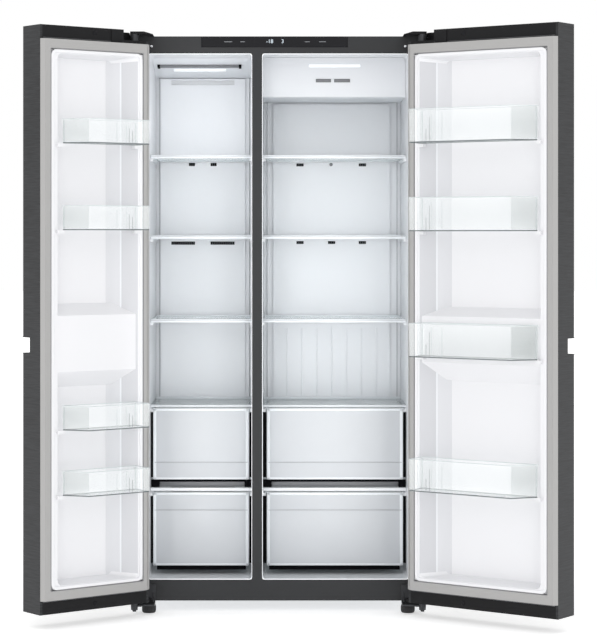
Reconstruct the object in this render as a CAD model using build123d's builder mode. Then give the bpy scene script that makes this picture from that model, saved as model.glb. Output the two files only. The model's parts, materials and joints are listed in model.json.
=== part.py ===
from build123d import *
import os
from math import cos, radians, sin

# Side-by-side refrigerator with both doors open, in millimetres, +Z up, front towards -Y.
# Its origin is the centre of the whole object's footprint, on the floor. The cabinet's own zero is the
# middle of its front plane, at floor level: x runs to the right, y towards the wall, z up.

# ---- cabinet
CABINET_X = -55.7        # cabinet's centre line in the object's frame
CABINET_Y = -96.6        # cabinet's front plane in the object's frame
CABINET_WIDTH = 910.0
CABINET_DEPTH = 620.0
CABINET_TOP = 1782.0
CABINET_BOTTOM = 34.0
SHEET = 1.2              # steel sheet
FRAME_T = 2.0            # front frame plate
LINER_T = 2.0            # plastic liner

OPENING_LOW = 100.0
OPENING_HIGH = 1728.0
OPENING_HALF = 402.0     # outer side of both openings, from the centre line
MULLION_X = -66.0
MULLION_WIDTH = 33.0
FREEZER_DEPTH = 540.0
FRIDGE_DEPTH = 450.0
STEP_Y = 405.0           # the liners step forward over the machine room
STEP_Z = 290.0
CORNER_R = 12.0          # liner corners

FREEZER = (-OPENING_HALF, MULLION_X - MULLION_WIDTH / 2)
FRIDGE = (MULLION_X + MULLION_WIDTH / 2, OPENING_HALF)

# ---- inside
PANEL_Y = 420.0          # front of both back panels
PANEL_T = 5.0
PANEL_RELIEF = 12.0      # the panels' middle stands this far in front of their edges
SIDE_GAP = 0.5           # panel edge to liner
FREEZER_PANEL = (-387.0, -109.0)
FRIDGE_PANEL = (-17.0, 366.0)
FREEZER_SLOPE_Y = 167.0  # the freezer's ceiling panel slopes from here down to the back panel
FREEZER_SLOPE_Z = 1683.0
HOUSING_Y = 150.0        # the fridge's upper housing
HOUSING_Z = 1602.0

SHELF_TOPS = (1417.0, 1164.0, 901.5)
SHELF_T = 9.0
SHELF_FRONT = 100.0
SHELF_BACK = 415.0
SHELF_TRAVEL_GAP = 0.8   # shelf edge to liner wall
LEDGE = 8.0              # ribs on the liner walls that shelves and drawers rest on
LEDGE_T = 9.0
COVER_LEDGE = 2.5        # narrower ribs under the drawer covers and the cross frames
REST_GAP = 0.3           # between a sliding piece and what it rests on

COVER_TOP = 632.5        # glass cover over the upper drawers
COVER_T = 6.5
MID_TOP = 371.7          # frame between the drawers
MID_T = 9.0
DRAWER_FRONT = 95.0
DRAWER_BACK = 398.0
DRAWER_WALL = 2.5
DRAWER_FRONT_T = 4.0
DRAWER_RIM = 6.0         # side rims that hang on the ledges
DRAWER_RIM_T = 4.0
UPPER_DRAWER = (398.0, 624.0)
LOWER_DRAWER = (128.0, 360.0)
FREEZER_DRAWER = (-393.0, -93.0)
FRIDGE_DRAWER = (-36.0, 391.0)
GRIP_BAND = 56.0         # height of the stepped grip band on each drawer front
GRIP_STEP = 2.5

# ---- machine room
ROOM_Y = 442.0
ROOM_TOP = 250.0
PLATE_T = 3.0
PAN_X = (-390.0, -180.0)
PAN_Y = (455.0, 605.0)
PAN_H = 42.0
PAN_R = 12.0
PAN_WALL = 2.5
COIL_X = (-400.0, -170.0)
COIL_Y = (470.0, 595.0)
COIL_Z = (92.0, 225.0)
COIL_FINS = 18
COIL_ROWS = (495.0, 532.0, 570.0)
COIL_LEVELS = (115.0, 158.0, 201.0)
COIL_LEG_Y = (500.0, 565.0)
FIN_T = 1.2
TUBE_R = 4.0
TUBE_BEND = 13.0
TUBE_ROUTE = (
    (205.0, 532.0, 206.0),
    (205.0, 532.0, 236.0),
    (205.0, 465.0, 236.0),
    (-155.0, 465.0, 236.0),
    (-155.0, 570.0, 236.0),
    (-155.0, 570.0, 201.0),
)
PUMP_X = 270.0
PUMP_Y = 532.0
PUMP_R = (98.0, 72.0)
PUMP_H = 150.0
PUMP_BASE = 18.0         # its underside above the floor plate
PUMP_BOLT = (86.0, 48.0)

# ---- doors, each in its own frame: x from the hinge pin to the free edge, y towards the cabinet when
# shut, z up
PIN_X = 441.8            # hinge pins, from the centre line
PIN_Y = -70.1
DOOR_EDGE = 14.7         # hinge-side edge of the door, beyond the pin
DOOR_OUTER = -44.9       # outer face
DOOR_INNER = 55.1        # inner face, under the gasket
DOOR_LOW = 44.6
DOOR_HIGH = 1788.5
CAP_H = 42.0             # plastic caps at both ends of the door
LEFT_WIDTH = 387.0
RIGHT_WIDTH = 518.0
LEFT_OPEN = 142.2        # opening angles of the doors as they stand
RIGHT_OPEN = 143.9
EDGE_R = 6.0
LIP = 8.0                # hem of the door skin on the inner face

NOTCH_DEEP_Z = 1757.0    # corner cut-out for the top hinge
NOTCH_X = 76.0
NOTCH_WALL_Y = -24.0
NOTCH_SHALLOW_Z = 1780.5 # the hinge-side corner is lower behind this slant, to pass the hinge cover
NOTCH_SLANT = (-14.0, 4.0)

GASKET_T = 14.7
GASKET_INSET = 0.5
GASKET_BAND = 28.0
GASKET_SHOULDER = 9.8    # slope of its outer edges, in depth
HINGE_SHOULDER_W = 14.6  # the same slope across, at the hinge side
FREE_SHOULDER_W = 8.0    # and at the free edge

RIDGE_Y = 66.0           # raised rim of the door liner
RIDGE_HINGE = (14.0, 29.0)
RIDGE_SLOPE = 12.0       # foot of the rim's outer slope, beyond the ridge at the free side
RIDGE_ENDS = 28.5        # foot of the rim, from the ends of the liner
RIDGE_END_SLOPE = 4.5
RIDGE_END_T = 8.5
LEFT_RIDGE = (319.0, 331.0)
RIGHT_RIDGE = (451.0, 465.0)
DOOR_LINER_T = 2.5
PANEL_Y_DOOR = 20.0      # recessed panel inside the rim
PANEL_HINGE = 100.0      # the hinge side slopes down to the panel here
PANEL_INSET = 11.0       # slope of the other three sides
RECESS_R = 16.0          # its rounded corners
BUMP_Y = 62.0            # thick band across the middle of the door
LEFT_BUMP = (712.0, 760.0, 927.0, 963.0)
RIGHT_BUMP = (724.0, 781.0, 921.0, 950.0)

POCKET_Z = (816.0, 862.0)
POCKET_DEPTH = 42.0      # from the outer face
POCKET_WIDTH = 34.0      # from the free edge
POCKET_T = 2.0

BASKET_HINGE = 43.0
BASKET_BACK = 68.0
BASKET_FRONT = 150.0
BASKET_WALL = 2.5
BOSS_DEPTH = 12.0        # bosses on the door liner's rim that the baskets rest on
BOSS_HEIGHT = 10.0
BOSS_REACH = 9.0         # under the basket
BOSS_ROOT = 6.0          # overlap with the rim
BOSS_STEP_X = 42.5       # hinge-side bosses are lower out to here, to pass the cabinet's front
BOSS_STEP_Y = 69.4
LEFT_BASKET_X = (310.0, 263.0)
RIGHT_BASKET_X = (450.0, 401.0)
LEFT_BASKETS = ((1438.0, 73.0), (1181.0, 73.0), (588.5, 73.0), (395.0, 73.0))
RIGHT_BASKETS = ((1443.5, 102.0), (1178.0, 102.0), (800.0, 102.0), (398.0, 97.0))

# ---- hinges, feet, rollers
PIN_R = 6.0
BORE_GAP = 0.08          # running clearance on a radius
HINGE_T = 4.0
HINGE_NOSE = 13.0
TOP_PIN_LOW = 1748.0
BOSS_R = 13.5
COVER_HIGH = 1790.0
COVER_INNER = 57.0       # top hinge cover, inward from the pin
COVER_OUTER = 13.0
BOTTOM_PLATE = (26.0, 31.0)
BOTTOM_PIN_HIGH = 70.0
COLLAR_R = 11.0
NUT_R = 10.5
NUT_LOW = 12.0
FOOT_X = 400.0
FOOT_Y = -14.0
FOOT_R = 21.0
FOOT_H = 25.0
STEM_R = 5.0
STEM_TOP = 42.0
ROLLER_X = 395.0
ROLLER_Y = 560.0
ROLLER_R = 16.0
ROLLER_W = 24.0
AXLE_R = 4.0
CHEEK_T = 3.0

os.makedirs("parts", exist_ok=True)


def save(part, name):
    """Labels a finished piece and writes it as a node of its own."""
    part.label = name
    export_step(part, f"parts/{name}.step")


def level(z):
    """Level plane at a height, zero at the middle of the cabinet's front."""
    return Plane(origin=(CABINET_X, CABINET_Y, z), x_dir=(1, 0, 0), z_dir=(0, 0, 1))


def front(y):
    """Upright plane facing the front: its x runs right and its y up; positive extrusion is forward."""
    return Plane(origin=(CABINET_X, CABINET_Y + y, 0), x_dir=(1, 0, 0), z_dir=(0, -1, 0))


def side(x):
    """Upright plane facing right: its x runs to the back and its y up."""
    return Plane(origin=(CABINET_X + x, CABINET_Y, 0), x_dir=(0, 1, 0), z_dir=(1, 0, 0))


CABINET = level(0)


def place(frame, x, y, z):
    """A point of a frame, its height always counted upward, with the frame's own turn."""
    return frame.location * Location((x, y, frame.z_dir.Z * z))


def block(x, y, z, mode=Mode.ADD, frame=CABINET):
    """A box between two limits on each axis of a frame."""
    with Locations(place(frame, sum(x) / 2, sum(y) / 2, sum(z) / 2)):
        Box(x[1] - x[0], y[1] - y[0], z[1] - z[0], mode=mode)


def rod(radius, centre, z, mode=Mode.ADD, frame=CABINET):
    """An upright cylinder between two heights of a frame."""
    with Locations(place(frame, centre[0], centre[1], sum(z) / 2)):
        Cylinder(radius, z[1] - z[0], mode=mode)


def compartment(span, depth, grow):
    """The hollow of one compartment, grown on every side but the front."""
    height = OPENING_HIGH - OPENING_LOW
    with BuildPart() as hollow:
        with BuildSketch(front(FRAME_T)):
            with Locations((sum(span) / 2, (OPENING_LOW + OPENING_HIGH) / 2)):
                Rectangle(span[1] - span[0] + 2 * grow, height + 2 * grow)
        extrude(amount=-(depth - FRAME_T + grow))
        with BuildSketch(side(span[0] - grow)):
            with Locations(((STEP_Y + grow + CABINET_DEPTH) / 2, (STEP_Z - grow) / 2)):
                Rectangle(CABINET_DEPTH - STEP_Y - grow, STEP_Z - grow)
        extrude(amount=span[1] - span[0] + 2 * grow, mode=Mode.SUBTRACT)
        corners = hollow.edges().filter_by(Axis.Y)
        fillet(corners.filter_by(lambda edge: edge.length > FREEZER_SLOPE_Y), CORNER_R + grow)
        fillet(hollow.faces().sort_by(Axis.Y)[-1].edges(), CORNER_R + grow)
    return hollow.part


def ledges(span, heights, y, width):
    """Ribs on both side walls of a compartment, with their tops at the given heights."""
    for top in heights:
        block((span[0] - LINER_T / 2, span[0] + width), y, (top - LEDGE_T, top))
        block((span[1] - width, span[1] + LINER_T / 2), y, (top - LEDGE_T, top))


# ======================================================================= cabinet
half = CABINET_WIDTH / 2
inner_half = half - SHEET


def cabinet_shell():
    """Folded steel wrapper: top and both sides."""
    with BuildPart() as shell:
        with BuildSketch(front(0)):
            with Locations((0, (CABINET_BOTTOM + CABINET_TOP) / 2)):
                Rectangle(CABINET_WIDTH, CABINET_TOP - CABINET_BOTTOM)
            with Locations((0, (CABINET_BOTTOM + CABINET_TOP - SHEET) / 2)):
                Rectangle(2 * inner_half, CABINET_TOP - CABINET_BOTTOM - SHEET, mode=Mode.SUBTRACT)
        extrude(amount=-CABINET_DEPTH)
        outside = shell.edges().filter_by(Axis.Y).group_by(Axis.Z)[-1]
        fillet(outside, EDGE_R * 0.4)
        inside = shell.edges().filter_by(Axis.Y).filter_by(lambda e: e.center().Z < CABINET_TOP - SHEET / 2)
        fillet(inside.group_by(Axis.Z)[-1], EDGE_R * 0.2)
    return shell.part


def front_frame():
    """Front plate with an opening for each compartment and the mullion between them."""
    low = CABINET_BOTTOM
    high = CABINET_TOP - SHEET
    with BuildPart() as plate:
        with BuildSketch(front(0)):
            with Locations((0, (low + high) / 2)):
                Rectangle(2 * inner_half, high - low)
            fillet(vertices().group_by(Axis.Z)[-1], EDGE_R * 0.2)
            for span in (FREEZER, FRIDGE):
                with Locations((sum(span) / 2, (OPENING_LOW + OPENING_HIGH) / 2)):
                    Rectangle(span[1] - span[0], OPENING_HIGH - OPENING_LOW, mode=Mode.SUBTRACT)
        extrude(amount=-FRAME_T)
    return plate.part


def base_frame():
    """Steel floor of the cabinet, folded up behind to make the machine room."""
    floor = CABINET_BOTTOM
    outline = [
        (FRAME_T, floor),
        (CABINET_DEPTH - SHEET, floor),
        (CABINET_DEPTH - SHEET, floor + PLATE_T),
        (ROOM_Y, floor + PLATE_T),
        (ROOM_Y, ROOM_TOP - SHEET),
        (CABINET_DEPTH - SHEET, ROOM_TOP - SHEET),
        (CABINET_DEPTH - SHEET, ROOM_TOP),
        (ROOM_Y - SHEET, ROOM_TOP),
        (ROOM_Y - SHEET, floor + SHEET),
        (FRAME_T, floor + SHEET),
    ]
    with BuildPart() as base:
        with BuildSketch(side(-inner_half)):
            with BuildLine():
                Polyline(*outline, close=True)
            make_face()
        extrude(amount=2 * inner_half)
    return base.part


def back_panel():
    """Sheet that closes the back above the machine room."""
    with BuildPart() as back:
        y = (CABINET_DEPTH - SHEET, CABINET_DEPTH)
        block((-inner_half, inner_half), y, (ROOM_TOP, CABINET_TOP - SHEET))
        fillet(back.edges().filter_by(Axis.Y).group_by(Axis.Z)[-1], EDGE_R * 0.2)
    return back.part


def cabinet_foam():
    """Foamed insulation between the wrapper, the liners and the machine room."""
    with BuildPart() as foam:
        block(
            (-inner_half, inner_half),
            (FRAME_T, CABINET_DEPTH - SHEET),
            (CABINET_BOTTOM + SHEET, CABINET_TOP - SHEET),
        )
        fillet(foam.edges().filter_by(Axis.Y).group_by(Axis.Z)[-1], EDGE_R * 0.2)
        block((-half, half), (ROOM_Y - SHEET, CABINET_DEPTH), (0, ROOM_TOP), Mode.SUBTRACT)
        add(compartment(FREEZER, FREEZER_DEPTH, LINER_T), mode=Mode.SUBTRACT)
        add(compartment(FRIDGE, FRIDGE_DEPTH, LINER_T), mode=Mode.SUBTRACT)
    return foam.part


def liner(span, depth, drawer):
    """One compartment's plastic liner, with the ledges for its shelves and drawers."""
    shelf_rests = [top - SHELF_T - REST_GAP for top in SHELF_TOPS]
    drawer_rests = [z[1] - DRAWER_RIM_T - REST_GAP for z in (UPPER_DRAWER, LOWER_DRAWER)]
    drawer_ledge = min(drawer[0] - span[0], span[1] - drawer[1]) - 1.5
    with BuildPart() as shell:
        add(compartment(span, depth, LINER_T))
        add(compartment(span, depth, 0), mode=Mode.SUBTRACT)
        ledges(span, shelf_rests, (SHELF_FRONT + 6, SHELF_BACK - 10), LEDGE)
        ledges(span, drawer_rests, (SHELF_FRONT + 6, DRAWER_BACK), drawer_ledge)
        ledges(span, [COVER_TOP - COVER_T], (SHELF_FRONT + 6, SHELF_BACK - 10), COVER_LEDGE)
        ledges(span, [MID_TOP - MID_T], (SHELF_FRONT + 6, SHELF_FRONT + 40), COVER_LEDGE)
    return shell.part


def control_panel():
    """Touch panel on the top rail, above the gasket's line."""
    with BuildPart() as panel:
        with BuildSketch(front(0)):
            with Locations((-12.0, 1765.0)):
                RectangleRounded(450.0, 31.0, 2.0)
        extrude(amount=2.5)
        fillet(panel.faces().sort_by(Axis.Y)[0].edges(), 0.8)
    return panel.part


def interior_lamps():
    """LED strips: one in the freezer's sloping ceiling panel, one on the fridge's housing."""
    run = PANEL_Y - FREEZER_SLOPE_Y
    drop = OPENING_HIGH - FREEZER_SLOPE_Z
    slope = Plane(
        origin=(CABINET_X, CABINET_Y + FREEZER_SLOPE_Y, OPENING_HIGH - SIDE_GAP),
        x_dir=(1, 0, 0),
        z_dir=(0, -drop, -run),
    )
    with BuildPart() as lamps:
        with BuildSketch(slope):
            with Locations((-254.0, -152.0)):
                RectangleRounded(168.0, 24.0, 4.0)
        extrude(amount=2.0)
        with BuildSketch(front(HOUSING_Y)):
            with Locations((178.0, 1702.0)):
                RectangleRounded(162.0, 8.0, 3.0)
        extrude(amount=2.0)
    return lamps.part


def evaporator_cover():
    """Freezer back panel: raised middle, sloping ceiling part and air outlets."""
    x = (FREEZER[0] + SIDE_GAP, FREEZER[1] - SIDE_GAP)
    edge_y = PANEL_Y + PANEL_RELIEF
    top = OPENING_HIGH - SIDE_GAP
    slope_run = edge_y - FREEZER_SLOPE_Y
    bend_z = top - (top - FREEZER_SLOPE_Z) * slope_run / (PANEL_Y - FREEZER_SLOPE_Y)
    profile = [
        (FREEZER_SLOPE_Y, top),
        (edge_y, bend_z),
        (edge_y, STEP_Z + SIDE_GAP),
        (edge_y + PANEL_T, STEP_Z + SIDE_GAP),
        (edge_y + PANEL_T, bend_z + PANEL_T),
        (FREEZER_SLOPE_Y + 6 * PANEL_T, top),
    ]
    with BuildPart() as cover:
        with BuildSketch(side(x[0])):
            with BuildLine():
                Polyline(*profile, close=True)
            make_face()
        extrude(amount=x[1] - x[0])
        block(FREEZER_PANEL, (PANEL_Y, edge_y), (STEP_Z + SIDE_GAP, FREEZER_SLOPE_Z - 4.0))
        for centre in (-284.0, -213.0):
            block((centre - 10, centre + 10), (0, edge_y + 2 * PANEL_T), (1393.0, 1404.0), Mode.SUBTRACT)
        for span in ((-352.0, -274.0), (-223.0, -144.0)):
            block(span, (0, edge_y + 2 * PANEL_T), (1134.5, 1145.5), Mode.SUBTRACT)
        block((-352.0, -144.0), (0, PANEL_Y + 2.0), (1659.0, 1675.0), Mode.SUBTRACT)
        block((-352.0, -144.0), (PANEL_Y - 1.0, edge_y + 2 * PANEL_T), (311.0, 340.0), Mode.SUBTRACT)
        add(compartment(FREEZER, FREEZER_DEPTH, -SIDE_GAP), mode=Mode.INTERSECT)
    return cover.part


def air_duct_panel():
    """Fridge back panel with its upper air housing, outlets and ribbed lower part."""
    x = (FRIDGE[0] + SIDE_GAP, FRIDGE[1] - SIDE_GAP)
    edge_y = PANEL_Y + PANEL_RELIEF
    top = OPENING_HIGH - SIDE_GAP
    profile = [
        (HOUSING_Y, top),
        (HOUSING_Y, HOUSING_Z),
        (edge_y, HOUSING_Z),
        (edge_y, STEP_Z + SIDE_GAP),
        (edge_y + PANEL_T, STEP_Z + SIDE_GAP),
        (edge_y + PANEL_T, HOUSING_Z + PANEL_T),
        (HOUSING_Y + PANEL_T, HOUSING_Z + PANEL_T),
        (HOUSING_Y + PANEL_T, top),
    ]
    with BuildPart() as panel:
        with BuildSketch(side(x[0])):
            with BuildLine():
                Polyline(*profile, close=True)
            make_face()
        extrude(amount=x[1] - x[0])
        front_edges = panel.edges().filter_by(Axis.X).group_by(Axis.Y)[0]
        fillet(front_edges.sort_by(Axis.Z)[0], PANEL_T)
        block(FRIDGE_PANEL, (PANEL_Y, edge_y), (STEP_Z + SIDE_GAP, HOUSING_Z - 6.0))
        for low, high in ((1392.0, 1402.0), (1137.0, 1147.0)):
            for centre in (71.0, 276.0):
                block((centre - 12, centre + 12), (0, edge_y + 2 * PANEL_T), (low, high), Mode.SUBTRACT)
        block((163.0, 187.0), (0, edge_y + 2 * PANEL_T), (1137.0, 1147.0), Mode.SUBTRACT)
        for span in ((64.0, 132.0), (220.0, 293.0)):
            block(span, (0, edge_y + 2 * PANEL_T), (877.0, 884.0), Mode.SUBTRACT)
        for span in ((118.0, 167.0), (176.0, 227.0)):
            block(span, (0, HOUSING_Y + 2 * PANEL_T), (1649.5, 1661.0), Mode.SUBTRACT)
        add(compartment(FRIDGE, FRIDGE_DEPTH, -SIDE_GAP), mode=Mode.INTERSECT)
    return panel.part


def shelf(span, top):
    """Glass shelf with its moulded front and back edges."""
    x = (span[0] + SHELF_TRAVEL_GAP, span[1] - SHELF_TRAVEL_GAP)
    with BuildPart() as plate:
        block(x, (SHELF_FRONT, SHELF_BACK), (top - SHELF_T, top))
        inner = (x[0] + LEDGE, x[1] - LEDGE)
        block(inner, (SHELF_FRONT + 14, SHELF_BACK - 12), (top - 1.5, top), Mode.SUBTRACT)
        block(inner, (SHELF_FRONT + 14, SHELF_BACK - 12), (top - SHELF_T, top - 5.5), Mode.SUBTRACT)
        fillet(plate.edges().filter_by(Axis.X).group_by(Axis.Y)[0], 2.5)
    return plate.part


def drawer_covers():
    """Glass plate over each upper drawer."""
    with BuildPart() as covers:
        for span in (FREEZER, FRIDGE):
            x = (span[0] + SIDE_GAP, span[1] - SIDE_GAP)
            block(x, (SHELF_FRONT, SHELF_BACK), (COVER_TOP - COVER_T, COVER_TOP))
        fillet(covers.edges().filter_by(Axis.X).group_by(Axis.Y)[0], 1.5)
    return covers.part


def drawer_frames():
    """Cross frame between the upper and the lower drawer of each compartment."""
    with BuildPart() as frames:
        for span in (FREEZER, FRIDGE):
            x = (span[0] + SIDE_GAP, span[1] - SIDE_GAP)
            block(x, (SHELF_FRONT, SHELF_FRONT + 32), (MID_TOP - MID_T, MID_TOP))
            block(x, (SHELF_FRONT + 32, DRAWER_BACK), (MID_TOP - 4.0, MID_TOP))
        fillet(frames.edges().filter_by(Axis.X).group_by(Axis.Y)[0], 1.5)
    return frames.part


def drawer(x, z, grip_at_top):
    """Open-topped bin with side rims and a stepped grip band across its front."""
    with BuildPart() as bin_:
        block(x, (DRAWER_FRONT, DRAWER_BACK), z)
        fillet(bin_.edges().filter_by(Axis.Z), 8.0)
        fillet(bin_.faces().sort_by(Axis.Z)[0].edges(), 6.0)
        block(
            (x[0] + DRAWER_WALL, x[1] - DRAWER_WALL),
            (DRAWER_FRONT + DRAWER_FRONT_T, DRAWER_BACK - DRAWER_WALL),
            (z[0] + DRAWER_WALL, z[1] + 1),
            Mode.SUBTRACT,
        )
        rim_z = (z[1] - DRAWER_RIM_T, z[1])
        rim_y = (DRAWER_FRONT + 12, DRAWER_BACK - 12)
        block((x[0] - DRAWER_RIM, x[0] + DRAWER_WALL), rim_y, rim_z)
        block((x[1] - DRAWER_WALL, x[1] + DRAWER_RIM), rim_y, rim_z)
        band = (z[1] - GRIP_BAND, z[1] + 1) if grip_at_top else (z[0] - 1, z[0] + GRIP_BAND)
        block((x[0] - 1, x[1] + 1), (DRAWER_FRONT - 1, DRAWER_FRONT + GRIP_STEP), band, Mode.SUBTRACT)
    return bin_.part


# ======================================================================= cooling
def evaporator():
    """Fin-and-tube block behind the freezer's back panel."""
    x = (-372.0, -124.0)
    y = (452.0, 516.0)
    with BuildPart() as coil:
        fins = 25
        pitch = (x[1] - x[0]) / (fins - 1)
        for fin in range(fins):
            middle = x[0] + fin * pitch
            block((middle - 0.6, middle + 0.6), y, (360.0, 620.0))
        for row in (470.0, 498.0):
            for height in range(380, 620, 40):
                centre = (CABINET_X + sum(x) / 2, CABINET_Y + row, height)
                with BuildSketch(Plane(origin=centre, z_dir=(1, 0, 0))):
                    Circle(4.0)
                extrude(amount=(x[1] - x[0]) / 2 + 8.0, both=True)
    return coil.part


def defrost_heater():
    """Heating rod under the evaporator."""
    with BuildPart() as heater:
        with BuildSketch(side(-370.0)):
            with Locations((484.0, 330.0)):
                Circle(5.0)
        extrude(amount=244.0)
        for start in (-376.0, -136.0):
            with BuildSketch(side(start)):
                with Locations((484.0, 330.0)):
                    Circle(9.0)
            extrude(amount=16.0)
    return heater.part


EVAPORATOR_FAN = (-248.0, 470.0, 760.0)
CONDENSER_FAN = (-60.0, 532.0, 140.0)
SHAFT_R = 3.0


def fan(plane, radius, blades):
    """Axial fan: hub with a bore for the motor's shaft, and pitched blades."""
    hub_r = radius * 0.28
    depth = 22.0
    with BuildPart(plane) as rotor:
        Cylinder(hub_r, depth)
        for blade in range(blades):
            turn = 360 / blades * blade
            with Locations(Location((0, 0, 0), (0, 0, turn))):
                with Locations(Location(((hub_r + radius) / 2 - 1.0, 0, 0), (32, 0, 0))):
                    Box(radius - hub_r + 2.0, radius * 0.55, 1.6)
        Cylinder(SHAFT_R + BORE_GAP, depth * 2, mode=Mode.SUBTRACT)
    return rotor.part


def evaporator_fan_plane():
    x, y, z = EVAPORATOR_FAN
    return Plane(origin=(CABINET_X + x, CABINET_Y + y, z), x_dir=(1, 0, 0), z_dir=(0, -1, 0))


def condenser_fan_plane():
    x, y, z = CONDENSER_FAN
    return Plane(origin=(CABINET_X + x, CABINET_Y + y, z), x_dir=(0, 0, 1), z_dir=(1, 0, 0))


def fan_motors():
    """Both fan motors with their shafts and mounting bridges."""
    with BuildPart() as motors:
        # bridge length and its distance behind each rotor differ with the space around it
        for plane, reach in ((evaporator_fan_plane(), 118.0), (condenser_fan_plane(), 103.0)):
            with BuildSketch(plane.offset(-14.0)):
                Circle(SHAFT_R)
            extrude(amount=26.0)
            with BuildSketch(plane.offset(-14.0)):
                Circle(22.0)
            extrude(amount=-30.0)
            with BuildSketch(plane.offset(-44.0)):
                Rectangle(2 * reach, 16.0)
            extrude(amount=-3.0)
    return motors.part


def compressor():
    """Sealed compressor on its base plate, with rubber-footed bolts."""
    floor = CABINET_BOTTOM + PLATE_T
    bolt_x, bolt_y = PUMP_BOLT
    with BuildPart() as pump:
        with BuildSketch(level(floor + PUMP_BASE)):
            with Locations((PUMP_X, PUMP_Y)):
                Ellipse(*PUMP_R)
        extrude(amount=PUMP_H)
        fillet(pump.edges().group_by(Axis.Z)[-1], 40.0)
        fillet(pump.edges().group_by(Axis.Z)[0], 20.0)
        plate_x = (PUMP_X - bolt_x - 14, PUMP_X + bolt_x + 14)
        plate_y = (PUMP_Y - bolt_y - 12, PUMP_Y + bolt_y + 12)
        block(plate_x, plate_y, (floor + PUMP_BASE - 4, floor + PUMP_BASE + 0.5))
        for dx in (-bolt_x, bolt_x):
            for dy in (-bolt_y, bolt_y):
                rod(9.0, (PUMP_X + dx, PUMP_Y + dy), (floor, floor + PUMP_BASE + 6))
        terminal_z = (floor + 60.0, floor + 110.0)
        block((PUMP_X + 60, PUMP_X + 106), (PUMP_Y - 22, PUMP_Y + 22), terminal_z)
    return pump.part


def condenser():
    """Finned condenser beside its fan."""
    length = COIL_X[1] - COIL_X[0]
    middle = CABINET_X + sum(COIL_X) / 2
    with BuildPart() as coil:
        for fin in range(COIL_FINS):
            x = COIL_X[0] + fin * length / (COIL_FINS - 1)
            block((x - FIN_T / 2, x + FIN_T / 2), COIL_Y, COIL_Z)
        for row in COIL_ROWS:
            for height in COIL_LEVELS:
                with BuildSketch(Plane(origin=(middle, CABINET_Y + row, height), z_dir=(1, 0, 0))):
                    Circle(TUBE_R)
                extrude(amount=length / 2 + 2 * TUBE_R, both=True)
        for end in COIL_X:
            block((end - 1.5, end + 1.5), COIL_LEG_Y, (CABINET_BOTTOM + PLATE_T, COIL_Z[0] + 8))
    return coil.part


def drain_pan():
    """Drip tray under the condenser."""
    floor = CABINET_BOTTOM + PLATE_T
    inside_x = (PAN_X[0] + PAN_WALL, PAN_X[1] - PAN_WALL)
    inside_y = (PAN_Y[0] + PAN_WALL, PAN_Y[1] - PAN_WALL)
    with BuildPart() as pan:
        block(PAN_X, PAN_Y, (floor, floor + PAN_H))
        fillet(pan.edges().filter_by(Axis.Z), PAN_R)
        block(inside_x, inside_y, (floor + PAN_WALL, floor + 2 * PAN_H), Mode.SUBTRACT)
    return pan.part


def machine_cover():
    """Rear cover of the machine room with air slots."""
    with BuildPart() as cover:
        with BuildSketch(front(CABINET_DEPTH)):
            with Locations((0, (CABINET_BOTTOM + PLATE_T + ROOM_TOP) / 2)):
                Rectangle(2 * inner_half, ROOM_TOP - CABINET_BOTTOM - PLATE_T)
            with Locations((-255.0, 145.0), (255.0, 145.0)):
                with GridLocations(26.0, 44.0, 10, 3):
                    SlotCenterToCenter(22.0, 8.0, rotation=90, mode=Mode.SUBTRACT)
        extrude(amount=SHEET)
    return cover.part


def refrigerant_tube():
    """Discharge pipe from the compressor to the condenser."""
    points = [Vector(CABINET_X + x, CABINET_Y + y, z) for x, y, z in TUBE_ROUTE]
    with BuildPart() as tube:
        with BuildLine() as path:
            FilletPolyline(*points, radius=TUBE_BEND)
        with BuildSketch(Plane(origin=points[0], z_dir=(0, 0, 1))):
            Circle(TUBE_R)
        sweep(path=path.wires()[0])
    return tube.part


# ======================================================================= doors
class Door:
    """One door: hinge pin, hand, opening angle and the measures in which the two doors differ."""

    def __init__(self, name, hand, width, opening, ridge, bump, basket_x, baskets):
        self.name = name
        self.hand = hand
        self.free = width - DOOR_EDGE
        self.ridge = ridge
        self.bump = bump
        self.basket_x = basket_x
        self.baskets = baskets
        self.pin = (CABINET_X - hand * PIN_X, CABINET_Y + PIN_Y)
        turn = radians(opening)
        self.along = (hand * cos(turn), -sin(turn), 0)
        self.inward = (hand * sin(turn), cos(turn), 0)
        self.frame = self.level(0)

    def point(self, x, y, z):
        """A point of the door's frame in the object's frame."""
        start = (*self.pin, z)
        return tuple(s + x * a + y * b for s, a, b in zip(start, self.along, self.inward))

    def level(self, z):
        """Level plane on the pin's axis; the right door's looks down, so its z is minus the height."""
        return Plane(origin=(*self.pin, z), x_dir=self.along, z_dir=(0, 0, self.hand))

    def face(self, y):
        """Upright plane along the door at a depth, its y up; positive extrusion deepens a left door."""
        outward = tuple(-part for part in self.inward)
        normal = tuple(self.hand * part for part in outward)
        return Plane(origin=self.point(0, y, 0), x_dir=self.along, z_dir=normal)

    def across(self, x):
        """Upright plane across the door at a distance from the pin, its y up."""
        normal = tuple(self.hand * part for part in self.along)
        return Plane(origin=self.point(x, 0, 0), x_dir=self.inward, z_dir=normal)


LEFT = Door("left", 1, LEFT_WIDTH, LEFT_OPEN, LEFT_RIDGE, LEFT_BUMP, LEFT_BASKET_X, LEFT_BASKETS)
RIGHT = Door("right", -1, RIGHT_WIDTH, RIGHT_OPEN, RIGHT_RIDGE, RIGHT_BUMP, RIGHT_BASKET_X, RIGHT_BASKETS)


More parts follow.
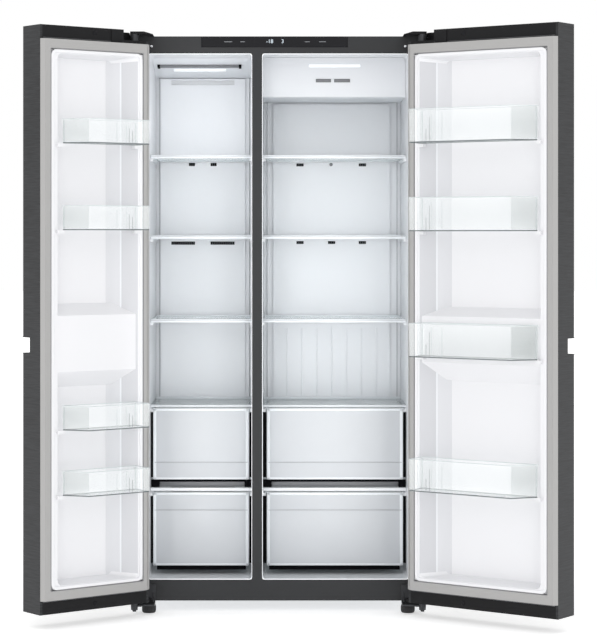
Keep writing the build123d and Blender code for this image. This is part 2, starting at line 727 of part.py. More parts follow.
def cut_hinge_notch(door):
    """Corner cut-out at the top of the door, in which the top hinge swings."""
    far = DOOR_HIGH + 20.0
    x = (-2 * DOOR_EDGE, NOTCH_X)
    back = 2 * DOOR_INNER
    block(x, (NOTCH_WALL_Y, back), (NOTCH_DEEP_Z, far), Mode.SUBTRACT, door.frame)
    outline = [
        (-2 * DOOR_EDGE, NOTCH_WALL_Y),
        (-2 * DOOR_EDGE, 2 * DOOR_OUTER),
        (NOTCH_SLANT[0], DOOR_OUTER),
        (NOTCH_SLANT[1], NOTCH_WALL_Y),
    ]
    with BuildPart() as corner:
        with BuildSketch(door.level(NOTCH_SHALLOW_Z)):
            with BuildLine():
                Polyline(*outline, close=True)
            make_face()
        extrude(amount=door.hand * (far - NOTCH_SHALLOW_Z))
    add(corner.part, mode=Mode.SUBTRACT)


def cut_pocket(door, inset):
    """Room for the finger pocket in the free edge."""
    z = (POCKET_Z[0] - inset, POCKET_Z[1] + inset)
    x = (door.free - POCKET_WIDTH - inset, door.free + 20.0)
    y = (DOOR_OUTER - 20.0, DOOR_OUTER + POCKET_DEPTH + inset)
    block(x, y, z, Mode.SUBTRACT, door.frame)


def slab(door, inset, z):
    """The door's whole section between two heights, rounded along its outer edges."""
    x = (-DOOR_EDGE + inset, door.free - inset)
    y = (DOOR_OUTER + inset, DOOR_INNER - inset)
    with BuildPart() as solid:
        with BuildSketch(door.level(z[0])):
            with BuildLine():
                Polyline((x[0], y[0]), (x[1], y[0]), (x[1], y[1]), (x[0], y[1]), close=True)
            make_face()
            fillet(vertices().filter_by(lambda corner: corner.Y < 0), EDGE_R - inset)
        extrude(amount=door.hand * (z[1] - z[0]))
    return solid.part


def door_shell(door):
    """Folded steel skin: outer face, both edges and their hems."""
    z = (DOOR_LOW - 1, DOOR_HIGH + 1)
    with BuildPart() as shell:
        add(slab(door, 0, (DOOR_LOW, DOOR_HIGH)))
        add(slab(door, SHEET, z), mode=Mode.SUBTRACT)
        block((-DOOR_EDGE + LIP, door.free - LIP), (0, DOOR_INNER + 1), z, Mode.SUBTRACT, door.frame)
        cut_hinge_notch(door)
        cut_pocket(door, POCKET_T)
    return shell.part


def door_caps(door):
    """Plastic end caps, with bores for the hinge pins."""
    hems = (-DOOR_EDGE + LIP, door.free - LIP)
    with BuildPart() as caps:
        for z in ((DOOR_HIGH - CAP_H, DOOR_HIGH), (DOOR_LOW, DOOR_LOW + CAP_H)):
            add(slab(door, SHEET, z))
            block(hems, (DOOR_INNER - 2 * SHEET, DOOR_INNER), z, frame=door.frame)
        cut_hinge_notch(door)
        rod(PIN_R + BORE_GAP, (0, 0), (TOP_PIN_LOW, DOOR_HIGH), Mode.SUBTRACT, door.frame)
        rod(PIN_R + BORE_GAP, (0, 0), (DOOR_LOW - 1, BOTTOM_PIN_HIGH + 1), Mode.SUBTRACT, door.frame)
    return caps.part


def tapered(door, near, far, radius=0):
    """Solid between two rectangles on the door: each is a depth, its x limits and its z limits."""
    with BuildPart() as solid:
        for y, x, z in (near, far):
            with BuildSketch(door.face(y)):
                with Locations((sum(x) / 2, sum(z) / 2)):
                    if radius:
                        RectangleRounded(x[1] - x[0], z[1] - z[0], radius)
                    else:
                        Rectangle(x[1] - x[0], z[1] - z[0])
        loft()
    return solid.part


def rim(door):
    """Raised rim of the liner, still solid; its hinge side is upright, the others slope."""
    z = (DOOR_LOW + CAP_H + RIDGE_ENDS, DOOR_HIGH - CAP_H - RIDGE_ENDS)
    foot_y = DOOR_INNER - DOOR_LINER_T
    foot = (foot_y, (RIDGE_HINGE[0], door.ridge[1] + RIDGE_SLOPE), z)
    top_z = (z[0] + RIDGE_END_SLOPE, z[1] - RIDGE_END_SLOPE)
    return tapered(door, foot, (RIDGE_Y, (RIDGE_HINGE[0], door.ridge[1]), top_z))


def recess(door, grow):
    """Recess inside the rim, grown by the liner's thickness for its outside."""
    low = DOOR_LOW + CAP_H + RIDGE_ENDS + RIDGE_END_SLOPE + RIDGE_END_T
    high = DOOR_HIGH - CAP_H - RIDGE_ENDS - RIDGE_END_SLOPE - RIDGE_END_T
    mouth = (RIDGE_Y + 1.0, (RIDGE_HINGE[1] - grow, door.ridge[0] + grow), (low - grow, high + grow))
    bottom_x = (PANEL_HINGE - grow, door.ridge[0] - PANEL_INSET + grow)
    bottom_z = (low + PANEL_INSET - grow, high - PANEL_INSET + grow)
    return tapered(door, (PANEL_Y_DOOR - grow, bottom_x, bottom_z), mouth, RECESS_R + grow)


def bump(door, inset):
    """Thick band across the door; inset by the liner's thickness for the foam inside it."""
    low_foot, low, high, high_foot = door.bump
    foot_y = PANEL_Y_DOOR - DOOR_LINER_T - (0.0 if inset else -1.0)
    x = (PANEL_HINGE, door.ridge[0] - PANEL_INSET) if inset else (RIDGE_HINGE[1] - 1, door.ridge[0] + 1)
    outline = [
        (foot_y, low_foot + inset),
        (BUMP_Y - inset, low + inset),
        (BUMP_Y - inset, high - inset),
        (foot_y, high_foot - inset),
    ]
    with BuildPart() as band:
        with BuildSketch(door.across(x[0] + inset)):
            with BuildLine():
                Polyline(*outline, close=True)
            make_face()
        extrude(amount=door.hand * (x[1] - x[0] - 2 * inset))
        if not inset:
            add(recess(door, DOOR_LINER_T / 2), mode=Mode.INTERSECT)
    return band.part


def door_liner(door):
    """Moulded inner face: flange, raised rim with basket bosses, recess and the thick middle band."""
    flange_x = (-DOOR_EDGE + LIP, door.free - LIP)
    flange_z = (DOOR_LOW + CAP_H, DOOR_HIGH - CAP_H)
    with BuildPart() as inner:
        block(flange_x, (DOOR_INNER - DOOR_LINER_T, DOOR_INNER), flange_z, frame=door.frame)
        add(rim(door))
        add(recess(door, DOOR_LINER_T))
        block(flange_x, (RIDGE_Y, 2 * RIDGE_Y), flange_z, Mode.SUBTRACT, door.frame)
        add(recess(door, 0), mode=Mode.SUBTRACT)
        add(bump(door, 0))
        add(bump(door, DOOR_LINER_T), mode=Mode.SUBTRACT)
        for low, height in door.baskets:
            z = (low - REST_GAP - BOSS_HEIGHT, low - REST_GAP)
            root = RIDGE_Y - DOOR_LINER_T
            tip = RIDGE_Y + BOSS_DEPTH
            block((RIDGE_HINGE[1] - BOSS_ROOT, BOSS_STEP_X), (root, BOSS_STEP_Y), z, frame=door.frame)
            block((BOSS_STEP_X, BASKET_HINGE + BOSS_REACH), (root, tip), z, frame=door.frame)
            free_x = (door.basket_x[0] - BOSS_REACH, door.ridge[0] + BOSS_ROOT)
            block(free_x, (root, tip), z, frame=door.frame)
    return inner.part


def door_foam(door):
    """Foamed insulation inside the door and its thick middle band."""
    z = (DOOR_LOW + CAP_H, DOOR_HIGH - CAP_H)
    everything = (-2 * DOOR_EDGE, door.free + DOOR_EDGE)
    with BuildPart() as foam:
        add(slab(door, SHEET, z))
        block(everything, (DOOR_INNER - DOOR_LINER_T, 2 * DOOR_INNER), z, Mode.SUBTRACT, door.frame)
        add(recess(door, DOOR_LINER_T), mode=Mode.SUBTRACT)
        add(bump(door, DOOR_LINER_T))
        cut_pocket(door, POCKET_T)
    return foam.part


def door_gasket(door):
    """Magnetic seal around the inner face, sloped along its outer edges."""
    low = DOOR_LOW + CAP_H
    high = DOOR_HIGH - CAP_H
    x = (-DOOR_EDGE + GASKET_INSET, door.free - GASKET_INSET)
    top = DOOR_INNER + GASKET_T
    shoulder = top - GASKET_SHOULDER
    profile = [
        (x[0], DOOR_INNER),
        (x[1], DOOR_INNER),
        (x[1], shoulder),
        (x[1] - FREE_SHOULDER_W, top),
        (x[0] + HINGE_SHOULDER_W, top),
        (x[0], shoulder),
    ]
    with BuildPart() as seal:
        with BuildSketch(door.level(low)):
            with BuildLine():
                Polyline(*profile, close=True)
            make_face()
        extrude(amount=door.hand * (high - low))
        hollow_x = (x[0] + GASKET_BAND, x[1] - GASKET_BAND)
        block(hollow_x, (0, 2 * top), (low + GASKET_BAND, high - GASKET_BAND), Mode.SUBTRACT, door.frame)
    return seal.part


def handle_pocket(door):
    """Moulded finger pocket in the free edge of the door."""
    z = (POCKET_Z[0] - POCKET_T, POCKET_Z[1] + POCKET_T)
    x = (door.free - POCKET_WIDTH - POCKET_T, door.free)
    y = (DOOR_OUTER, DOOR_OUTER + POCKET_DEPTH + POCKET_T)
    with BuildPart() as pocket:
        block(x, y, z, frame=door.frame)
        block((x[0] + POCKET_T, x[1] + 1), (y[0] - 1, y[1] - POCKET_T), POCKET_Z, Mode.SUBTRACT, door.frame)
    return pocket.part


def basket(door, low, height):
    """Clear door basket with a slanted corner at the free side."""
    back_end, front_end = door.basket_x
    outline = [
        (BASKET_HINGE, BASKET_BACK),
        (back_end, BASKET_BACK),
        (front_end, BASKET_FRONT),
        (BASKET_HINGE, BASKET_FRONT),
    ]
    with BuildPart() as bin_:
        for start, inset in ((low, 0.0), (low + BASKET_WALL, BASKET_WALL)):
            with BuildSketch(door.level(start)):
                with BuildLine():
                    Polyline(*outline, close=True)
                make_face()
                fillet(vertices(), 6.0)
                if inset:
                    offset(amount=-inset, mode=Mode.REPLACE)
            extrude(amount=door.hand * height, mode=Mode.SUBTRACT if inset else Mode.ADD)
    return bin_.part


# ======================================================================= hinges and supports
def door_hinges():
    """Top and bottom hinge plates with their pins."""
    with BuildPart() as hinges:
        for sign in (-1, 1):
            pin = (sign * PIN_X, PIN_Y)
            across = sorted((sign * (PIN_X + COVER_OUTER - 2), sign * (PIN_X - COVER_INNER + 12)))
            block(across, (-60.0, 96.0), (CABINET_TOP, CABINET_TOP + HINGE_T))
            nose = sorted((sign * (PIN_X + COVER_OUTER - 2), sign * (PIN_X - COVER_OUTER)))
            block(nose, (PIN_Y, -60.0), (CABINET_TOP, CABINET_TOP + HINGE_T))
            rod(HINGE_NOSE - 2, pin, (CABINET_TOP, CABINET_TOP + HINGE_T))
            rod(PIN_R, pin, (TOP_PIN_LOW + 2, CABINET_TOP + HINGE_T))
            rod(BOSS_R, pin, (NOTCH_DEEP_Z + 1, CABINET_TOP))
            # bottom plate, its upright flange on the front rail, pin, collar and nut
            plate = sorted((sign * (PIN_X + 11), sign * (FOOT_X - 19)))
            block(plate, (-60.0, 0.0), BOTTOM_PLATE)
            block(sorted((sign * (PIN_X + 11), sign * (PIN_X - 22))), (PIN_Y, -60.0), BOTTOM_PLATE)
            rod(COLLAR_R, pin, (BOTTOM_PLATE[0], DOOR_LOW - 0.6))
            rod(PIN_R, pin, (NUT_LOW, BOTTOM_PIN_HIGH))
            block(plate, (-3.0, 0.0), (BOTTOM_PLATE[0], 84.0))
            with BuildSketch(Plane(origin=(CABINET_X + pin[0], CABINET_Y + pin[1], 17.0))):
                RegularPolygon(NUT_R, 6)
            extrude(amount=BOTTOM_PLATE[0] - 17.0)
            foot = (sign * FOOT_X, FOOT_Y)
            rod(STEM_R + BORE_GAP, foot, (BOTTOM_PLATE[0] - 1, STEM_TOP + 2), Mode.SUBTRACT)
    return hinges.part


def hinge_covers():
    """Plastic covers over the top hinge plates."""
    low = CABINET_TOP
    with BuildPart() as covers:
        for sign in (-1, 1):
            pin = (sign * PIN_X, PIN_Y)
            x = sorted((sign * (PIN_X + COVER_OUTER), sign * (PIN_X - COVER_INNER)))
            inside = sorted((sign * (PIN_X + COVER_OUTER - 2), sign * (PIN_X - COVER_INNER + 12)))
            slope = [
                (sign * (PIN_X + COVER_OUTER), low),
                (sign * (PIN_X + COVER_OUTER), COVER_HIGH),
                (sign * (PIN_X - COVER_INNER + 27), COVER_HIGH),
                (sign * (PIN_X - COVER_INNER), low),
            ]
            with BuildSketch(front(-83.0)):
                with BuildLine():
                    Polyline(*slope, close=True)
                make_face()
            extrude(amount=-190.0)
            block(inside, (-60.0, 96.0), (low - 1, low + HINGE_T), Mode.SUBTRACT)
            nose = sorted((sign * (PIN_X + COVER_OUTER - 2), sign * (PIN_X - COVER_OUTER)))
            block(nose, (PIN_Y, -60.0), (low - 1, low + HINGE_T), Mode.SUBTRACT)
            rod(HINGE_NOSE - 2, pin, (low - 1, low + HINGE_T), Mode.SUBTRACT)
        uprights = covers.edges().filter_by(Axis.Z).group_by(Axis.Y)[0]
        fillet(uprights, 8.0)
    return covers.part


def levelling_foot(sign):
    """Round foot with a threaded stem through the bottom hinge plate."""
    with BuildPart() as foot:
        rod(FOOT_R, (sign * FOOT_X, FOOT_Y), (0, FOOT_H))
        fillet(foot.edges().group_by(Axis.Z)[-1], 3.0)
        chamfer(foot.edges().group_by(Axis.Z)[0], 3.0)
        rod(STEM_R, (sign * FOOT_X, FOOT_Y), (FOOT_H - 1, STEM_TOP))
    return foot.part


def roller_plane(sign):
    return Plane(
        origin=(CABINET_X + sign * ROLLER_X, CABINET_Y + ROLLER_Y, ROLLER_R),
        x_dir=(0, 1, 0),
        z_dir=(1, 0, 0),
    )


def roller(sign):
    """Rear roller with its axle bore."""
    with BuildPart(roller_plane(sign)) as wheel:
        Cylinder(ROLLER_R, ROLLER_W)
        chamfer(wheel.edges(), 1.5)
        Cylinder(AXLE_R + BORE_GAP, ROLLER_W * 2, mode=Mode.SUBTRACT)
    return wheel.part


def roller_brackets():
    """Brackets under the machine room with the rollers' axles."""
    with BuildPart() as brackets:
        for sign in (-1, 1):
            middle = sign * ROLLER_X
            reach = ROLLER_W / 2 + 1.0
            y = (ROLLER_Y - 14, ROLLER_Y + 14)
            block((middle - reach - CHEEK_T, middle - reach), y, (ROLLER_R - 8, CABINET_BOTTOM))
            block((middle + reach, middle + reach + CHEEK_T), y, (ROLLER_R - 8, CABINET_BOTTOM))
            with BuildSketch(roller_plane(sign)):
                Circle(AXLE_R)
            extrude(amount=reach + CHEEK_T, both=True)
    return brackets.part


# ======================================================================= the pieces
save(cabinet_shell(), "cabinet_shell")
save(front_frame(), "front_frame")
save(base_frame(), "base_frame")
save(back_panel(), "back_panel")
save(cabinet_foam(), "cabinet_foam")
save(liner(FREEZER, FREEZER_DEPTH, FREEZER_DRAWER), "freezer_liner")
save(liner(FRIDGE, FRIDGE_DEPTH, FRIDGE_DRAWER), "fridge_liner")
save(control_panel(), "control_panel")
save(interior_lamps(), "interior_lamps")
save(evaporator_cover(), "evaporator_cover")
save(air_duct_panel(), "air_duct_panel")
save(drawer_covers(), "drawer_covers")
save(drawer_frames(), "drawer_frames")
save(evaporator(), "evaporator")
save(defrost_heater(), "defrost_heater")
save(fan(evaporator_fan_plane(), 55.0, 5), "evaporator_fan")
save(fan(condenser_fan_plane(), 62.0, 5), "condenser_fan")
save(fan_motors(), "fan_motors")
save(compressor(), "compressor")
save(condenser(), "condenser")
save(drain_pan(), "drain_pan")
save(machine_cover(), "machine_cover")
save(refrigerant_tube(), "refrigerant_tube")
save(door_hinges(), "door_hinges")
save(hinge_covers(), "hinge_covers")
save(roller_brackets(), "roller_brackets")

for sign, name in ((-1, "left"), (1, "right")):
    save(levelling_foot(sign), f"{name}_foot")
    save(roller(sign), f"{name}_roller")

for index, top in enumerate(SHELF_TOPS, 1):
    save(shelf(FREEZER, top), f"freezer_shelf_{index}")
    save(shelf(FRIDGE, top), f"fridge_shelf_{index}")

for name, x in (("freezer", FREEZER_DRAWER), ("fridge", FRIDGE_DRAWER)):
    save(drawer(x, UPPER_DRAWER, False), f"{name}_upper_drawer")
    save(drawer(x, LOWER_DRAWER, True), f"{name}_lower_drawer")

for door in (LEFT, RIGHT):
    save(door_shell(door), f"{door.name}_door_shell")
    save(door_caps(door), f"{door.name}_door_caps")
    save(door_liner(door), f"{door.name}_door_liner")
    save(door_foam(door), f"{door.name}_door_foam")
    save(door_gasket(door), f"{door.name}_door_gasket")
    save(handle_pocket(door), f"{door.name}_handle_pocket")

for door in (LEFT, RIGHT):
    for index, (low, height) in enumerate(door.baskets, 1):
        save(basket(door, low, height), f"{door.name}_basket_{index}")
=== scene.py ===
import json
import math

import bmesh
import bpy
from mathutils import Matrix, Vector


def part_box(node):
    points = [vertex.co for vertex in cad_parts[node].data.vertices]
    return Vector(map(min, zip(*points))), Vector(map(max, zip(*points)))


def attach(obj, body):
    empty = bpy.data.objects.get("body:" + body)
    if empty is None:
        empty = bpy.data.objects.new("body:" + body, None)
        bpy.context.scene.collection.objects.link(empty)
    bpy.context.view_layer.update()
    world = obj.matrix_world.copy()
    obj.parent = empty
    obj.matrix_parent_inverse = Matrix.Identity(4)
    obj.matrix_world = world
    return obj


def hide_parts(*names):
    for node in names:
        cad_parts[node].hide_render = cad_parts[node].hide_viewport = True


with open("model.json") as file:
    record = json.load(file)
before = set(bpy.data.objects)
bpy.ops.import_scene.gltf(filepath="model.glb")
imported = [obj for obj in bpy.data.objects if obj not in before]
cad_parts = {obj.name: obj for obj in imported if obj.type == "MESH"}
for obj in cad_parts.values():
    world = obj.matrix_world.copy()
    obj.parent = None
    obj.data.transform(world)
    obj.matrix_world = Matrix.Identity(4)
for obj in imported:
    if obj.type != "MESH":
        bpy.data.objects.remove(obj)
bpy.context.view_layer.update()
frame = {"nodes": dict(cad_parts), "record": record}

# A side-by-side refrigerator with both doors open. Lengths of pieces are in millimetres, in the frame of
# the body they belong to, and MM turns them into the row frame's metres.
MM = Matrix.Scale(0.001, 4)

# ---------------------------------------------------------------- frames of the bodies
shell_low, shell_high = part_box("cabinet_shell")
CENTRE_X = (shell_low[0] + shell_high[0]) / 2
FRONT_Y = shell_low[1]
DEPTH = (shell_high[1] - shell_low[1]) * 1000
TOP = shell_high[2] * 1000
HALF = (shell_high[0] - shell_low[0]) * 500
# x right of the cabinet's centre, y behind its front plane, z above the floor
CABINET = Matrix.Translation((CENTRE_X, FRONT_Y, 0)) @ MM


def door_frame(name):
    """x from the hinge pin to the free edge, y towards the cabinet when shut, z up."""
    joint = next(j for j in frame["record"]["behaviour"]["joints"] if j["name"] == f"{name}_door_hinge")
    hand = -joint["axis"][2]
    turn = math.radians(-joint["range_deg"][0])
    pin = Vector((joint["pos_m"][0], joint["pos_m"][1], 0))
    along = Vector((hand * math.cos(turn), -math.sin(turn), 0))
    inward = Vector((hand * math.sin(turn), math.cos(turn), 0))
    columns = Matrix((along, inward, Vector((0, 0, 1)))).transposed().to_4x4()
    return Matrix.Translation(pin) @ columns @ MM


DOORS = {"left": door_frame("left"), "right": door_frame("right")}


def cabinet_range(node):
    """A cabinet node's box in the cabinet's millimetres."""
    low, high = (CABINET.inverted() @ Vector(corner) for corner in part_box(node))
    return tuple(zip(low, high))


def door_range(node, door):
    """The limits of a door's node in the door's own frame."""
    points = [DOORS[door].inverted() @ vertex.co for vertex in frame["nodes"][node].data.vertices]
    return tuple((min(p[i] for p in points), max(p[i] for p in points)) for i in range(3))


# ---------------------------------------------------------------- materials
def surface(
    name,
    color,
    roughness,
    metallic=0.0,
    alpha=1.0,
    ior=1.45,
    coat=0.0,
    stretch=(1.0, 1.0, 1.0),
    grain=500.0,
    bump=0.02,
    tint=0.03,
    patches=3.0,
    gloss_change=0.06,
    glow=None,
    glow_strength=0.0,
    contrast=0.5,
):
    """Principled material with grain, a slow change of shade and a changing gloss, all procedural."""
    material = bpy.data.materials.new(name)
    material.use_nodes = True
    nodes = material.node_tree.nodes
    links = material.node_tree.links
    shader = nodes["Principled BSDF"]
    shader.inputs["Metallic"].default_value = metallic
    shader.inputs["IOR"].default_value = ior
    shader.inputs["Alpha"].default_value = alpha
    shader.inputs["Coat Weight"].default_value = coat
    shader.inputs["Coat Roughness"].default_value = 0.08
    if glow:
        shader.inputs["Emission Color"].default_value = (*glow, 1)
        shader.inputs["Emission Strength"].default_value = glow_strength

    coordinates = nodes.new("ShaderNodeTexCoord")
    mapping = nodes.new("ShaderNodeMapping")
    mapping.inputs["Scale"].default_value = stretch
    links.new(coordinates.outputs["Object"], mapping.inputs["Vector"])
    fine = nodes.new("ShaderNodeTexNoise")
    fine.inputs["Scale"].default_value = grain
    fine.inputs["Detail"].default_value = 5
    links.new(mapping.outputs["Vector"], fine.inputs["Vector"])
    broad = nodes.new("ShaderNodeTexNoise")
    broad.inputs["Scale"].default_value = patches
    broad.inputs["Detail"].default_value = 3
    links.new(coordinates.outputs["Object"], broad.inputs["Vector"])

    shade = nodes.new("ShaderNodeMix")
    shade.data_type = "RGBA"
    shade.inputs["A"].default_value = (*[c * (1 - tint) for c in color], 1)
    shade.inputs["B"].default_value = (*[min(1, c * (1 + tint)) for c in color], 1)
    blend = nodes.new("ShaderNodeMath")
    blend.operation = "MULTIPLY_ADD"
    blend.inputs[1].default_value = contrast
    half = nodes.new("ShaderNodeMath")
    half.operation = "MULTIPLY_ADD"
    half.inputs[1].default_value = 0.5
    # keeps the mean of both at one half
    half.inputs[2].default_value = 0.25 - 0.5 * contrast
    links.new(broad.outputs["Fac"], half.inputs[0])
    links.new(fine.outputs["Fac"], blend.inputs[0])
    links.new(half.outputs[0], blend.inputs[2])
    links.new(blend.outputs[0], shade.inputs["Factor"])
    links.new(shade.outputs["Result"], shader.inputs["Base Color"])

    gloss = nodes.new("ShaderNodeMapRange")
    gloss.inputs["To Min"].default_value = max(0.0, roughness - gloss_change)
    gloss.inputs["To Max"].default_value = min(1.0, roughness + gloss_change)
    links.new(blend.outputs[0], gloss.inputs["Value"])
    links.new(gloss.outputs["Result"], shader.inputs["Roughness"])

    relief = nodes.new("ShaderNodeBump")
    relief.inputs["Strength"].default_value = bump
    relief.inputs["Distance"].default_value = 0.001
    links.new(fine.outputs["Fac"], relief.inputs["Height"])
    links.new(relief.outputs["Normal"], shader.inputs["Normal"])
    return material


BRUSHED = (0.05, 0.05, 1.0)
FINISHES = {
    "inox_skin": dict(
        color=(0.033, 0.034, 0.036), roughness=0.42, metallic=0.7, stretch=BRUSHED, grain=340, bump=0.3,
        tint=0.44, contrast=2.3,
    ),
    "dark_steel": dict(
        color=(0.034, 0.035, 0.037), roughness=0.45, ior=1.3, grain=900, bump=0.12, tint=0.10,
    ),
    "galvanised": dict(
        color=(0.52, 0.54, 0.56), roughness=0.45, metallic=0.9, grain=60, bump=0.05, tint=0.14,
    ),
    "foam": dict(color=(0.80, 0.70, 0.48), roughness=0.9, grain=900, bump=0.6, tint=0.1),
    "liner_white": dict(
        color=(0.83, 0.845, 0.87), roughness=0.32, coat=0.15, grain=700, bump=0.05, tint=0.012,
    ),
    # a slightly darker copy of the liner white for the door liners: painted shade that holds their brightness
    # down
    "door_white_dimmed": dict(
        color=(0.815, 0.815, 0.835), roughness=0.34, coat=0.15, grain=700, bump=0.05, tint=0.012,
    ),
    # the mouth lips glow a little though they are no lamps: painted light that makes them whiter
    "lip_white_glow": dict(
        color=(0.92, 0.93, 0.95), roughness=0.3, grain=700, bump=0.05, tint=0.012,
        glow=(0.95, 0.97, 1.0), glow_strength=0.3,
    ),
    # greyer copies of the door liner's white for the slope beside the hinge: painted shade
    "door_wall_shade": dict(
        color=(0.615, 0.62, 0.645), roughness=0.36, coat=0.1, grain=700, bump=0.05, tint=0.012,
    ),
    "door_step_shade": dict(
        color=(0.70, 0.705, 0.73), roughness=0.36, coat=0.1, grain=700, bump=0.05, tint=0.012,
    ),
    "panel_white": dict(color=(0.82, 0.838, 0.865), roughness=0.38, grain=800, bump=0.06, tint=0.012),
    # clear plastic glows a little though it is no lamp: painted light that offsets the shade of its
    # see-through layers
    "clear_plastic": dict(
        color=(0.95, 0.98, 0.985), roughness=0.08, alpha=0.11, ior=1.5, grain=25, bump=0.04, tint=0.02,
        glow=(0.95, 1.0, 1.0), glow_strength=0.36,
    ),
    "clear_edge": dict(
        color=(0.66, 0.71, 0.72), roughness=0.12, alpha=0.70, ior=1.5, grain=60, bump=0.03, tint=0.04,
    ),
    "clear_base": dict(
        color=(0.66, 0.71, 0.72), roughness=0.15, alpha=0.35, ior=1.5, grain=60, bump=0.03, tint=0.03,
    ),
    "drawer_face": dict(
        color=(0.63, 0.652, 0.68), roughness=0.16, alpha=0.82, ior=1.5, grain=30, bump=0.03, tint=0.02,
    ),
    "drawer_trim": dict(
        color=(0.80, 0.83, 0.86), roughness=0.15, alpha=0.92, ior=1.5, grain=40, bump=0.03, tint=0.02,
    ),
    # a greyer copy of the panel white for the freezer panel's shallow inset: painted shade
    "panel_inset_shade": dict(color=(0.66, 0.675, 0.69), roughness=0.4, grain=800, bump=0.06, tint=0.012),
    "shelf_glass": dict(
        color=(0.80, 0.90, 0.91), roughness=0.03, alpha=0.30, ior=1.5, coat=0.3, grain=8, bump=0.01,
        tint=0.02, gloss_change=0.02,
    ),
    "shelf_trim": dict(
        color=(0.84, 0.87, 0.90), roughness=0.25, alpha=0.95, ior=1.5, grain=200, bump=0.03, tint=0.02,
    ),
    "grey_trim": dict(
        color=(0.20, 0.205, 0.215), roughness=0.35, metallic=0.3, grain=400, bump=0.05, tint=0.08,
    ),
    "trim_dark": dict(
        color=(0.008, 0.008, 0.010), roughness=0.2, ior=1.25, grain=200, bump=0.01, tint=0.2,
        gloss_change=0.03,
    ),
    "shadow_black": dict(
        color=(0.004, 0.004, 0.005), roughness=0.8, ior=1.15, grain=500, bump=0.1, tint=0.2,
    ),
    "cap_black": dict(
        color=(0.008, 0.008, 0.009), roughness=0.5, ior=1.28, grain=1100, bump=0.35, tint=0.12,
    ),
    "gasket_grey": dict(color=(0.39, 0.385, 0.38), roughness=0.55, grain=600, bump=0.12, tint=0.06),
    "edge_dark": dict(
        color=(0.14, 0.165, 0.17), roughness=0.2, alpha=0.8, ior=1.5, grain=60, bump=0.03, tint=0.04,
    ),
    # a darker see-through sheet for the baskets' slanted ends: painted shade
    "clear_facet_shade": dict(
        color=(0.56, 0.64, 0.63), roughness=0.12, alpha=0.09, ior=1.5, grain=60, bump=0.03, tint=0.03,
    ),
    # a darker copy of the gasket grey for the seal's groove: painted shade
    "gasket_groove_shade": dict(color=(0.27, 0.27, 0.275), roughness=0.6, grain=600, bump=0.12, tint=0.06),
    "lamp_lens": dict(
        color=(0.95, 0.97, 1.0), roughness=0.3, grain=300, bump=0.05, tint=0.02, glow=(0.93, 0.97, 1.0),
        glow_strength=0.3,
    ),
    "digit_light": dict(
        color=(0.5, 0.55, 0.6), roughness=0.4, grain=300, bump=0.01, tint=0.02, glow=(0.75, 0.9, 1.0),
        glow_strength=0.35,
    ),
    "icon_grey": dict(color=(0.30, 0.31, 0.33), roughness=0.4, grain=300, bump=0.01, tint=0.05),
    "fin_metal": dict(
        color=(0.74, 0.75, 0.76), roughness=0.32, metallic=1.0, grain=300, bump=0.08, tint=0.08,
    ),
    "heater_metal": dict(
        color=(0.45, 0.43, 0.40), roughness=0.3, metallic=1.0, grain=300, bump=0.05, tint=0.1,
    ),
    "hinge_steel": dict(
        color=(0.055, 0.056, 0.060), roughness=0.38, metallic=0.8, grain=500, bump=0.12, tint=0.15,
    ),
    "bright_steel": dict(
        color=(0.55, 0.56, 0.58), roughness=0.25, metallic=1.0, grain=400, bump=0.05, tint=0.1,
    ),
    "motor_black": dict(
        color=(0.02, 0.02, 0.022), roughness=0.3, coat=0.4, grain=250, bump=0.08, tint=0.15,
    ),
    "copper_pipe": dict(
        color=(0.72, 0.36, 0.20), roughness=0.28, metallic=1.0, grain=200, bump=0.06, tint=0.12,
    ),
    "fan_plastic": dict(color=(0.72, 0.74, 0.76), roughness=0.45, grain=700, bump=0.08, tint=0.03),
    "tray_grey": dict(color=(0.10, 0.105, 0.115), roughness=0.5, grain=700, bump=0.15, tint=0.06),
    "foot_black": dict(color=(0.018, 0.018, 0.020), roughness=0.5, grain=900, bump=0.3, tint=0.15),
}
MATERIALS = {name: surface(name, **look) for name, look in FINISHES.items()}
# record slots of the finishes that aren't slots themselves
NODE_FINISH = {"left_door_liner": "door_white_dimmed", "right_door_liner": "door_white_dimmed"}

for part in frame["record"]["subparts"]:
    node = frame["nodes"][part["node"]]
    finish = NODE_FINISH.get(part["node"], part["material_slot"])
    node.data.materials.clear()
    node.data.materials.append(MATERIALS[finish])


# ---------------------------------------------------------------- mesh helpers
SMOOTH_ANGLE = math.radians(40)


def add_piece(name, mesh, body, finish):
    """Turns a mesh or curve that is already in the row frame into a piece that rides on a body."""
    piece = bpy.data.objects.new(name, mesh)
    bpy.context.scene.collection.objects.link(piece)
    mesh.materials.clear()
    mesh.materials.append(MATERIALS[finish])
    if isinstance(mesh, bpy.types.Mesh):
        mesh.shade_smooth()
        mesh.set_sharp_from_angle(angle=SMOOTH_ANGLE)
    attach(piece, body)
    return piece


def mesh_from(name, shape, place):
    """Closes off a bmesh in a body's millimetres and moves it to the row frame."""
    bmesh.ops.recalc_face_normals(shape, faces=shape.faces)
    shape.transform(place)
    if place.determinant() < 0:
        bmesh.ops.reverse_faces(shape, faces=shape.faces)
    mesh = bpy.data.meshes.new(name)
    shape.to_mesh(mesh)
    shape.free()
    return mesh


